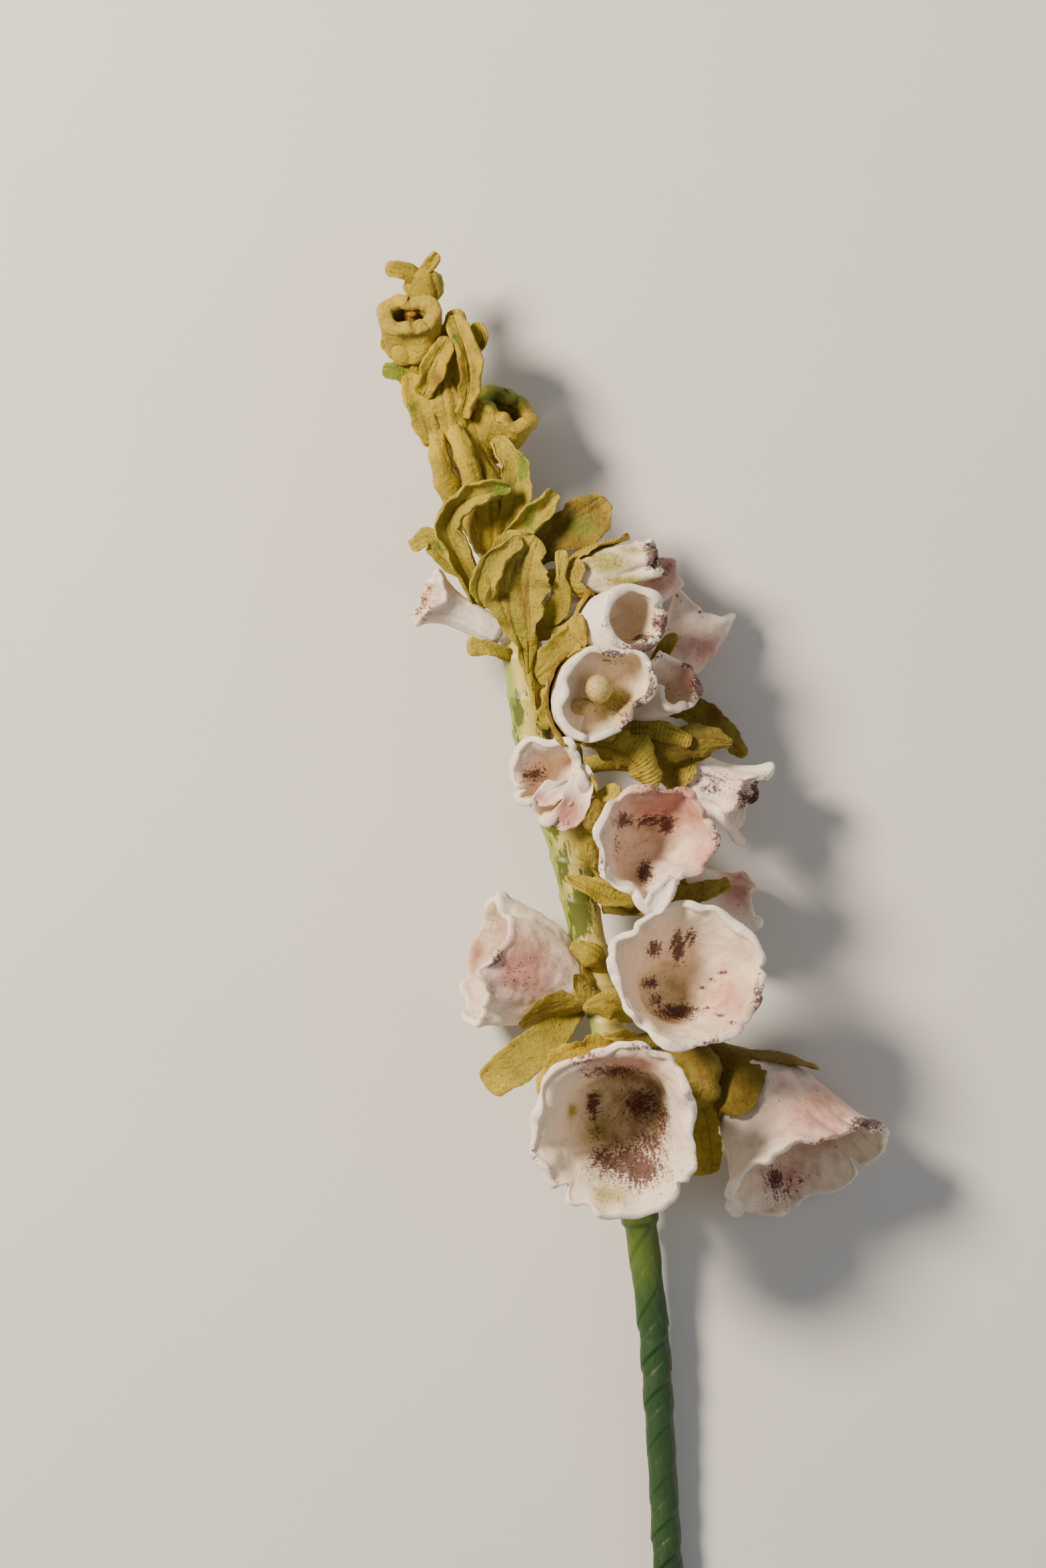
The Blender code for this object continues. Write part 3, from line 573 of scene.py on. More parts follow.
def sepal_skin(bell, seed, where, reach, part, lift, combed):
    """One sepal pressed on a bell's outside, its tip lifting off."""
    rng = np.random.default_rng(seed)
    span = reach * bell.length
    s = 0.5 - 0.5 * np.cos(math.pi * np.linspace(0.0, 1.0, 64))
    grid_s, grid_a = np.meshgrid(s, whole_turn(64), indexing="ij")
    run = grid_s * span
    place, height = cross_section(grid_a)
    half = along((0.85, 1.0, 1.02, 0.92, 0.7, 0.4, 0.22), grid_s) * part * math.pi
    cap = np.minimum(grid_s * 9.0, (1 - grid_s) * span / (0.6 + 0.35 * half * bell.size))
    cap = np.sqrt(1 - (1 - np.clip(cap, 0.0, 1.0)) ** 2)
    for beat, near in edge_beats(rng, run, (8.0, 4.1, 2.2), place):
        half = half * (1 + 0.045 * beat * near)
    lean = math.radians(rng.uniform(-7.0, 7.0))
    turn = math.radians(where) + lean * grid_s + place * half * cap
    level = grid_s * reach + 0.01
    ridge = bump(place, 0.06 * np.sin(grid_s * 4 + where), 0.16) * (1 - grid_s) * 0.5
    groove = np.zeros_like(grid_s)
    for _ in range(5):
        home, drift, phase = rng.uniform(-0.8, 0.8), rng.uniform(0.04, 0.16), rng.uniform(0, TURN)
        low = rng.uniform(-0.2, 0.5)
        near = bump(place, home + drift * np.sin(grid_s * 5 + phase), 0.06)
        near = near * smooth(low - 0.1, low + 0.1, grid_s) * (1 - smooth(0.85, 1.0, grid_s))
        groove = np.maximum(groove, near)
    comb = combed * (0.5 - 0.5 * np.cos(run / COMB_PITCH * TURN + 1.6 * place ** 2))
    swing = sum(rng.uniform(0.3, 0.7) * np.sin(run / pitch * TURN + rng.uniform(0, TURN))
                for pitch in (9.0, 5.0)) * place ** 2 * smooth(0.2, 0.8, grid_s)
    off = 1.0 + lift * grid_s ** 3 + 0.6 * np.maximum(swing, -0.4) + 0.35 * ridge
    off = off + 0.45 * place ** 2 * smooth(0.1, 0.6, grid_s)
    thick = 0.55 * cap * (1 - 0.3 * np.abs(place)) * (1 - 0.4 * groove) * (1 - 0.25 * comb)
    outward = spoke(bell.heading(level), bell.start, turn)
    points = bell.wall(level, turn) + outward * (0.35 + off + height * thick)[..., None]
    paint = {
        "groove": np.maximum(groove, comb * 0.6), "tip": grid_s, "comb": comb,
        "fibre": np.stack(
            [place * half * bell.radius(level, turn), height * 0.3, run * FIBRE_STRETCH], axis=-1),
        "umber": bump(np.abs(place), 1.0, 0.12) * 0.45 + smooth(0.75, 1.0, grid_s) * 0.35,
    }
    return knead(skin("sepal", points, paint), (3.0, 0.9), (1.0, 0.35))


def flap_skin(name, spine, widths, curl, facing, marks, thickness=None, **shape):
    """Closed skin of a loose flap of petal paste, with the paints of a bell."""
    thickness = thickness or bpy.context.scene.foxglove_sizes.petal / MM
    points, sheet = leaf_points(spine, widths, curl, facing, thickness, 56, 56, **shape)
    paint = petal_paints(points, marks)
    paint["inside"] = np.full_like(sheet["tip"], 0.4)
    paint["streak"] = sheet["fibre"]
    return knead(skin(name, points, paint), (3.0, 0.9))


def pellet(name, place, size, stretch):
    """Kneaded lump of paste: a sphere primitive brought to size and place in its mesh."""
    bpy.ops.object.select_all(action="DESELECT")
    bpy.ops.mesh.primitive_uv_sphere_add(segments=48, ring_count=32, radius=size * MM)
    piece = bpy.context.object
    piece.name = name
    piece.scale = stretch
    piece.location = [v * MM for v in place]
    bpy.ops.object.transform_apply(location=True, rotation=False, scale=True)
    bpy.ops.object.shade_smooth()
    return knead(piece, (size * 1.1, 0.9))


# --- what is modelled ------------------------------------------------------------------------

# Each bell: base, middle of the mouth, way the mouth faces, where angle 0 of its lip lies, lip
# radii at even angles, profile. Folds are (angle, width, depth, lift, from where along it) and
# tears (angle, width, depth). Marks are spots of paint (x, y, half width, half length, strength);
# "out" is how far the bruise shows outside, "throat" how strongly moss dust and the painted throat
# shade are laid down the throat, and "deep" (strength, reach, angle where it is strongest) is that
# painted shade: a brown that darkens the throat towards its floor and on one side, for the shade
# inside the bell as well as brown dust.
BELLS = {
    "low_front": dict(base=(-1, -25, 19.3), mouth=(-4.2, -31, 46.5), facing=(-0.13, -0.14, 0.98),
        start=ALONG, rim=(18.6, 18, 18, 18.2, 17.8, 18.2, 18.4, 17.9, 18, 19.6), profile="lipped", seed=3,
        ruffle=0.75, scallop=0.5, roll=2.2, folds=((95, 10, 0.8, 0.5, 0.8), (118, 8, 1.2, 0.5, 0.75),
        (300, 12, 1, 1, 0.7), (20, 10, 0.7, 0.4, 0.8), (270, 8, 1.2, 0.6, 0.8)), tears=((138, 3.5, 3.2),
        (230, 3, 2.6), (319, 4, 1.6)),
        marks={"deep": (0.8, 0.52, 270), "throat": 0.9, "bruise": ((0.4, -38.5, 7.9, 5.5, 1),
        (4, -34, 5, 5, 0.8), (-5.5, -37.5, 5, 3.6, 0.9), (-8.3, -26, 1.8, 4.2, 0.95), (-8, -32, 2, 3, 0.6),
        (-4.3, -18.6, 8, 2.2, 0.85), (1.7, -25.8, 5.9, 4.9, 0.8), (6.4, -29.6, 1.8, 5.3, 0.8),
        (-7.1, -40, 3.9, 2.1, 0.6)), "moss": ((-6.5, -31, 5, 6, 0.75), (-5.4, -44.2, 5.2, 2.4, 0.8),
        (-12.8, -26.8, 1.3, 2, 1)), "blush": ((7.5, -38.3, 6.9, 9, 0.15), (-2.6, -16.5, 11.8, 3.4, 0.75)),
        "lip": ((-10.5, -15.5, 4, 3, 0.6), (2, -13, 7, 1.6, 0.5), (13.6, -36, 1.6, 6, 0.6),
        (-21, -36, 1.6, 4, 0.5))}),
    "low_left": dict(base=(-9.6, -3.6, 19), mouth=(-31.8, 4.4, 16.4), facing=(-0.95, 0.22, 0.22), start=UP,
        rim=(13.4, 13.8, 14.2, 14, 13.8, 14.2, 14.4, 14, 13.6, 13.4), profile="dome", seed=8, ruffle=0.8,
        scallop=0.35, roll=1, folds=((350, 16, -1, 2.5, 0.7), (60, 14, 1.4, -1, 0.6),
        (300, 12, 1.2, -1, 0.6)),
        marks={"bruise": ((-25, 0.6, 4, 4.6, 0.5),), "out": 1, "throat": 0.3,
        "moss": ((-14.5, -6.4, 6.3, 4.9, 0.35), (-27.8, 14.2, 3.4, 3, 0.45)),
        "blush": ((-22.5, 2.9, 7.6, 9.6, 1), (-33.6, 4.9, 3, 5.3, 0.8)), "lip": ((-27.8, 1.6, 2.4, 5.1, 1),
        (-29, 9, 2, 3, 0.6))}),
    "low_right": dict(base=(21, -18, 12), mouth=(36.5, -41.2, 18.5), facing=(0.365, -0.825, 0.43), start=UP,
        rim=(17, 17.6, 18.4, 18.4, 17.6, 17.2, 17.6, 18.2, 18, 17.2), profile="flared", seed=15, ruffle=0.8,
        scallop=0.4, roll=1.4, folds=((20, 10, -0.8, 1.4, 0.7), (345, 12, -0.6, 1.5, 0.7),
        (62, 8, 1.4, -0.8, 0.5), (88, 7, 1, 0.6, 0.6), (150, 10, 1, 0.8, 0.7)), tears=((222, 3, 4),
        (120, 4, 2), (160, 3, 1.6)),
        marks={"bruise": ((30.4, -42.6, 3, 3.2, 0.85), (32.6, -45, 4.6, 4.6, 0.62),
        (36.5, -42.6, 3.6, 1.6, 0.6)), "moss": ((28.2, -33, 2.8, 2.1, 0.2),), "throat": 0.3,
        "blush": ((38, -28.5, 13, 9.5, 0.8), (33.1, -42.1, 6.9, 5.2, 0.7)), "deep": (0.95, 1.6, 180),
        "lip": ((49.2, -29.6, 5.2, 2.4, 0.95), (34.5, -39.6, 8.3, 1.6, 0.7), (40, -34, 6, 2, 0.5))}),
    "mid_front": dict(base=(4.5, -5, 21), mouth=(10.6, 2.3, 43.5), facing=(0.09, 0.22, 0.97), start=ALONG,
        rim=(15, 15, 15.8, 15, 15.2, 15.8, 16.4, 16.9, 16.6, 15.4), profile="funnel", seed=21, ruffle=0.6,
        scallop=0.3, roll=1.6, folds=((51, 7, 1.5, 1.5, 0.75), (228, 3, 0.8, -0.6, 0.4),
        (255, 3, 0.6, -0.4, 0.45), (330, 10, -0.6, 0.6, 0.8)), tears=((275, 4, 2.6), (200, 5, 1.2)),
        marks={"deep": (0.3, 0.5, 180), "throat": 0.7, "bruise": ((9.3, 7, 2, 4.6, 1),
        (11.6, 9.4, 1.9, 3, 0.8), (4.3, 6.9, 2.2, 2.4, 1), (3.6, -0.5, 2.4, 1.7, 1),
        (9.2, -6.5, 5.6, 2.2, 1), (5, -4, 2, 2.2, 0.8), (14.5, -1.6, 1.3, 0.6, 0.7),
        (16.5, 0.2, 1.5, 0.6, 0.8), (18.8, 1.8, 1.6, 0.7, 0.8), (15.5, -5.6, 1.7, 0.7, 0.8),
        (18, -6.9, 1.7, 0.6, 0.8), (20.5, -8.2, 1.7, 0.6, 0.7)), "moss": ((8.4, -1.4, 5.4, 5, 0.6),),
        "blush": ((19.9, -3.6, 7.3, 8.3, 0.75), (22.6, 6.9, 3.8, 3.8, 0.5)),
        "lip": ((25.6, -3, 1.6, 6, 0.7), (17, -12, 7, 1.6, 0.5))}),
    "mid_back": dict(base=(4, 21.5, 12.5), mouth=(20.8, 14.2, 9.5), facing=(0.8, -0.4, -0.2), start=UP,
        rim=(8.6, 9, 9.4, 9, 8.8, 9, 9.4, 9, 8.8, 8.6), profile="flared", seed=27, ruffle=0.7, scallop=0.25,
        roll=0.4, detail=0.7, folds=((5, 22, 2, 6, 0.5), (300, 20, 1, 1.5, 0.5)),
        marks={"moss": ((11.4, 16.7, 4.2, 4.2, 0.3),), "blush": ((21.9, 18.8, 4.9, 6.3, 0.9),),
        "lip": ((21.4, 20, 4.9, 5.7, 0.3),)}),
    "pink_front": dict(base=(-5.5, 27, 21.5), mouth=(4.7, 28.2, 39.5), facing=(0.14, 0.05, 0.99),
        start=ALONG, rim=(12.6, 13.3, 12.8, 12.6, 13.2, 13.4, 9, 11.4, 13.2, 13), profile="funnel", seed=33,
        ruffle=0.6, scallop=0.4, roll=0.8, detail=0.85, solid=0.35, folds=((150, 14, 2.4, 1, 0.35),
        (118, 8, -0.8, 0.4, 0.6), (12, 10, -0.6, 0.8, 0.7)), tears=((38, 5, 1.4), (300, 4, 1.2)),
        marks={"deep": (0.2, 0.5, 90), "bruise": ((-2, 33.5, 2.6, 2, 0.95), (3.6, 33.4, 3.4, 1.9, 0.95),
        (7, 32.8, 2.2, 2.5, 1), (2.5, 22.6, 2.2, 3.2, 0.95), (-3.4, 28.6, 1.4, 3.5, 0.6)),
        "moss": ((9, 28.3, 1.8, 1.8, 0.4), (-1.5, 23.4, 3.2, 2.5, 0.35)), "throat": 0.15,
        "blush": ((8, 37.5, 13, 9, 1), (15, 26, 6, 10, 0.75), (4, 30, 22, 20, 0.3)),
        "lip": ((-8.5, 24, 3, 6, 0.6), (13, 19.5, 6, 3, 0.7), (17.5, 30, 2, 6, 0.6), (6, 41, 8, 3, 0.5))}),
    "small_left": dict(base=(-16.4, 42.8, 23.5), mouth=(-17.8, 41.4, 35), facing=(-0.2, -0.05, 0.97),
        start=ALONG, rim=(8.9, 9.3, 9, 7.4, 7.6, 8.9, 8.2, 7.6, 7.6, 10.6), profile="flared", seed=41,
        ruffle=0.7, scallop=0.25, roll=0.6, detail=0.7, folds=((20, 22, -0.5, 1.6, 0.5),
        (205, 18, 2.2, 1, 0.4), (140, 12, 1.8, 0.8, 0.5), (320, 12, 0.9, 1.2, 0.5)),
        marks={"bruise": ((-20.8, 43.2, 3.1, 2.7, 0.9), (-20.8, 38.8, 2.1, 1.1, 0.4)), "throat": 0.1,
        "blush": ((-13.1, 36.5, 4.8, 5.1, 0.9), (-21.1, 40.2, 4.2, 5.6, 0.35))}),
    "right": dict(base=(8.5, 44, 17), mouth=(23.5, 37.3, 19), facing=(0.85, -0.42, 0.2), start=UP,
        rim=(7.6, 8, 8.4, 8, 7.8, 8.2, 9, 8.6, 7.8, 7.6), profile="tube", seed=47, ruffle=0.8, scallop=0.3,
        roll=0.5, detail=0.7, folds=((270, 20, -1, 3.2, 0.5), (90, 20, -0.6, 4.2, 0.5),
        (315, 10, 1.6, -1, 0.5), (40, 12, 1.6, -1, 0.5)),
        marks={"bruise": ((16.6, 41.2, 6.2, 3.4, 0.66), (23, 38, 3.6, 3, 0.75), (26, 37.5, 3, 3.2, 0.85)),
        "out": 1, "throat": 0.2, "moss": ((12.1, 36.3, 3.5, 2.8, 0.3),),
        "blush": ((21.9, 39.5, 6.3, 5.3, 0.5),), "lip": ((26.3, 39.5, 2.3, 3.9, 0.9),)}),
    "upper_front": dict(base=(-13.5, 59.5, 24), mouth=(-5.8, 59.4, 38.5), facing=(0.12, 0.02, 0.99),
        start=ALONG, rim=(9.8, 10.5, 10.5, 10.8, 11, 8.4, 7.6, 7.4, 11.4, 11.5), profile="cup", seed=53,
        ruffle=0.6, scallop=0.16, roll=0.9, detail=0.75, beads=0.35, solid=0.5,
        folds=((85, 14, 1.8, 1, 0.5), (250, 12, 1, 0.6, 0.5)),
        marks={"bruise": ((-4.3, 66.6, 1.8, 0.6, 0.6), (-1.6, 56, 4, 4, 0.5)),
        "moss": ((-4.3, 58.4, 5.2, 4.6, 1),), "deep": (0, 0.5, 0), "throat": 0.3,
        "blush": ((-4, 66.8, 5.6, 1.1, 0.4), (-1, 54, 5, 4, 0.5)), "lip": ((4.8, 65.2, 2.2, 1.8, 1),
        (2.9, 61.2, 1.8, 2.8, 1), (1.2, 57, 1.6, 2.8, 1), (-1.2, 53.4, 2.2, 1.8, 0.9),
        (-4.3, 68.2, 4, 1.6, 0.8))}),
    "upper_right": dict(base=(-5, 54.5, 15.5), mouth=(8.4, 62.6, 28.5), facing=(0.55, 0.5, 0.67),
        start=ALONG, rim=(7, 6.6, 6.6, 7, 7.2, 6.8, 6.6, 7, 7.2, 7), profile="flared", stalk=53, seed=59,
        ruffle=0.6, scallop=0.25, roll=0.5, detail=0.65, folds=((110, 16, 1.4, 0.6, 0.5),),
        marks={"moss": ((6.9, 60.8, 1.8, 3.5, 0.4),), "blush": ((11, 63.2, 4.5, 5.5, 0.8),),
        "lip": ((12.1, 66.8, 2.4, 1.8, 1), (13.9, 62.2, 1.8, 4.5, 1), (7.7, 61.5, 1.4, 2.6, 1),
        (4.4, 67.7, 2.8, 0.8, 0.6), (11.1, 59, 3.2, 1.1, 0.6))}),
    "cup": dict(base=(-11.5, 73.8, 24), mouth=(0.2, 75.7, 36), facing=(0.3, 0.05, 0.95), start=ALONG,
        rim=(6.9, 7, 6.8, 6.9, 7, 6.9, 6.9, 7, 6.9, 6.8), profile="cup", seed=65, ruffle=0.22, scallop=0.12,
        roll=0.7, detail=0.65, thick=1.3, nicks=2, beads=0.25, solid=0.4, tears=((290, 6, 1.5),),
        marks={"bruise": ((4.4, 74.8, 0.9, 2.4, 0.9), (2.6, 71.4, 3.4, 1.4, 0.9)),
        "moss": ((0.9, 75.5, 4.2, 4.2, 0.25),), "throat": 0.2, "lip": ((2.3, 69.4, 5.9, 2, 1),
        (6.4, 74.2, 1.9, 4.4, 1), (-6.1, 74.5, 1, 1.8, 0.5))}),
    "upper_back": dict(base=(6.5, 64, 9.5), mouth=(14.8, 77, 6.6), facing=(0.4, 0.85, -0.25), start=UP,
        rim=(6.6, 6.4, 6.2, 6.6, 6.8, 6.4, 6.4, 6.6, 6.6, 6.4), profile="cup", stalk=62, seed=71,
        ruffle=0.5, scallop=0.15, roll=0.4, detail=0.65, nicks=2, folds=((80, 14, -0.8, 2.6, 0.5),
        (300, 14, -0.8, 1.6, 0.5), (0, 16, 1, -1.2, 0.5)),
        # Its blush spot is painted shade as well as pink dust: laid strong to darken this bell, which lies
        # in shade.
        marks={"blush": ((15, 69.8, 7, 6, 0.85),), "throat": 0.2, "lip": ((9.3, 79.4, 1.4, 1.8, 1),
        (15.6, 77.8, 2.8, 1.2, 0.5))}),
    "closed": dict(base=(-14.5, 84.5, 25.5), mouth=(4.4, 88.6, 26.5), facing=(0.93, 0.3, 0.2), start=UP,
        rim=(3.6, 3.9, 4, 3.7, 3.6, 3.7, 4, 3.9, 3.6, 3.7), profile="spindle", nicks=3, seed=77, ruffle=0.5,
        scallop=0.2, roll=0.2, detail=0.5, folds=((30, 16, 0.8, -0.8, 0.2), (330, 14, 0.5, 0.6, 0.3)),
        marks={"moss": ((-5.7, 87.4, 7.4, 3.4, 1), (0, 90, 4, 1.6, 0.9), (-2, 83.4, 7, 1.8, 1)),
        "lip": ((3.7, 88.7, 3.6, 3.2, 1),), "throat": 0.2}),
    "top_back": dict(base=(-7, 81, 14.5), mouth=(5.6, 87.6, 16.5), facing=(0.62, 0.66, -0.15), start=UP,
        rim=(6.4, 6.4, 6.6, 6.8, 6.6, 6.4, 6.6, 6.8, 6.4, 6.4), profile="cup", stalk=80, seed=83,
        ruffle=0.4, scallop=0.12, roll=0.3, detail=0.6, nicks=1, folds=((20, 20, 0.8, 1.2, 0.4),),
        marks={"blush": ((4.5, 86.7, 9, 9, 1),), "bruise": ((6.4, 88, 4, 5, 0.35),), "out": 1,
        "throat": 0.2}),
    "top_left": dict(base=(-28.5, 73, 22), mouth=(-43, 80.2, 24.5), facing=(-0.88, 0.4, 0.25), start=UP,
        rim=(5.6, 5.8, 6.2, 5.6, 5, 5.2, 6, 6.2, 5.6, 5.6), profile="trumpet", stalk=72, seed=89,
        ruffle=0.5, scallop=0.3, roll=0.3, detail=0.65, folds=((10, 16, 0.8, -2.6, 0.6),
        (60, 18, -0.8, 1.2, 0.6), (300, 22, -0.8, 1, 0.6)),
        marks={"moss": ((-43.2, 79.4, 5.6, 5.3, 0.25),), "blush": ((-42.8, 79.4, 4.6, 5.3, 0.5),),
        "lip": ((-44.8, 79.4, 4.3, 5.3, 0.6),), "throat": 0.2}),
}

# Unopened cup-shaped buds near the tip, of the golden paste.
CUP_BUDS = {
    "bud_cup_top": dict(base=(-45.6, 129.5, 22), mouth=(-46.6, 139.4, 27), facing=(-0.05, 0.5, 0.86),
        start=ALONG, rim=(3.4, 4.6, 6, 5.8, 4.4, 3.8, 4.4, 5.6, 5.8, 4.6), profile="cup", stalk=128,
        seed=95, ruffle=0.25, scallop=0.05, roll=0.9, detail=0.6, thick=2.2, nicks=0, beads=0.08,
        folds=((250, 16, 0.6, 0.8, 0.6), (20, 12, 0.5, 0.6, 0.6)),
        marks={"bruise": ((-46.5, 139.5, 3, 1.6, 0.5),)}),
    "bud_cup_right": dict(base=(-32.8, 110, 17), mouth=(-26.2, 120.4, 20), facing=(0.38, 0.62, 0.52),
        start=ALONG, rim=(4.6, 5.8, 6.2, 5.2, 5, 5.6, 6.2, 6, 5, 4.4), profile="cup", stalk=108, seed=99,
        ruffle=0.35, scallop=0.05, roll=0.8, detail=0.6, thick=2.2, nicks=0, beads=0.08,
        folds=((0, 30, 1.4, 1.6, 0.5),),
        marks={"moss": ((-26.8, 123, 7.5, 3.6, 1),)}),
}

# Calyces: place on the stem (y) that carries it, and its sepals as (angle, reach along the bell,
# width at its widest as a part of the bell's girth, how far its tip lifts off, comb marks).
CALYCES = {
    "low_front": (-23, ((0, 0.46, 0.2, 2.2, 0), (72, 0.62, 0.22, 2.5, 0), (144, 0.4, 0.2, 1.6, 0),
        (216, 0.4, 0.2, 1.6, 0), (288, 0.44, 0.2, 2, 0))),
    "low_left": (-3, ((306, 0.46, 0.24, 1, 0), (25, 0.1, 0.2, 0.4, 0), (95, 0.26, 0.22, 0.8, 0),
        (186, 0.34, 0.22, 1, 0), (250, 0.36, 0.24, 1, 0))),
    "low_right": (-14, ((15, 0.42, 0.24, 1, 0), (75, 0.34, 0.2, 1, 0), (150, 0.36, 0.2, 1, 0),
        (222, 0.36, 0.2, 1, 0), (290, 0.42, 0.15, 1.6, 0))),
    "mid_front": (-8, ((20, 0.4, 0.2, 1.2, 0), (92, 0.46, 0.2, 1.4, 0), (164, 0.4, 0.2, 1.2, 0),
        (236, 0.42, 0.2, 1.2, 0), (308, 0.4, 0.2, 1.2, 0))),
    "mid_back": (20, ((0, 0.42, 0.22, 1, 0), (72, 0.4, 0.2, 0.8, 0), (144, 0.36, 0.2, 0.8, 0),
        (216, 0.36, 0.2, 0.8, 0), (288, 0.42, 0.2, 0.8, 0))),
    "pink_front": (27, ((58, 1, 0.2, 1.8, 0), (104, 0.98, 0.22, 1.4, 0), (180, 0.44, 0.2, 1.2, 0),
        (250, 0.44, 0.2, 1.2, 0), (320, 0.44, 0.2, 1.2, 0))),
    "small_left": (43.5, ((200, 0.96, 0.24, 1.2, 1), (262, 1, 0.24, 1.4, 1), (325, 0.7, 0.22, 1, 1),
        (45, 0.6, 0.2, 1, 1), (120, 0.7, 0.22, 1, 1))),
    "right": (43, ((0, 0.34, 0.24, 0.9, 1), (72, 0.42, 0.22, 1.2, 0), (144, 0.32, 0.2, 0.8, 0),
        (216, 0.32, 0.2, 0.8, 0), (300, 0.4, 0.22, 1.2, 1))),
    "upper_front": (60, ((70, 0.8, 0.22, 1.2, 0), (130, 0.8, 0.22, 1.2, 0), (200, 0.6, 0.2, 1, 0),
        (270, 0.5, 0.2, 1, 0), (350, 0.5, 0.2, 1, 0))),
    "cup": (73, ((30, 0.35, 0.2, 0.9, 0), (102, 0.42, 0.2, 0.9, 0), (174, 0.42, 0.2, 0.9, 0),
        (246, 0.35, 0.2, 0.9, 0), (318, 0.35, 0.2, 0.9, 0))),
    "closed": (84, ((345, 0.24, 0.24, 0.4, 1), (60, 0.3, 0.22, 0.4, 0), (130, 0.45, 0.22, 0.4, 0),
        (200, 0.45, 0.22, 0.4, 0), (262, 0.8, 0.26, 0.5, 1))),
}

# Calyces of the dark olive-green paste, a darker copy of the mustard paste: painted shade on a calyx that
# lies in shade.
DARK_CALYCES = ("low_right",)
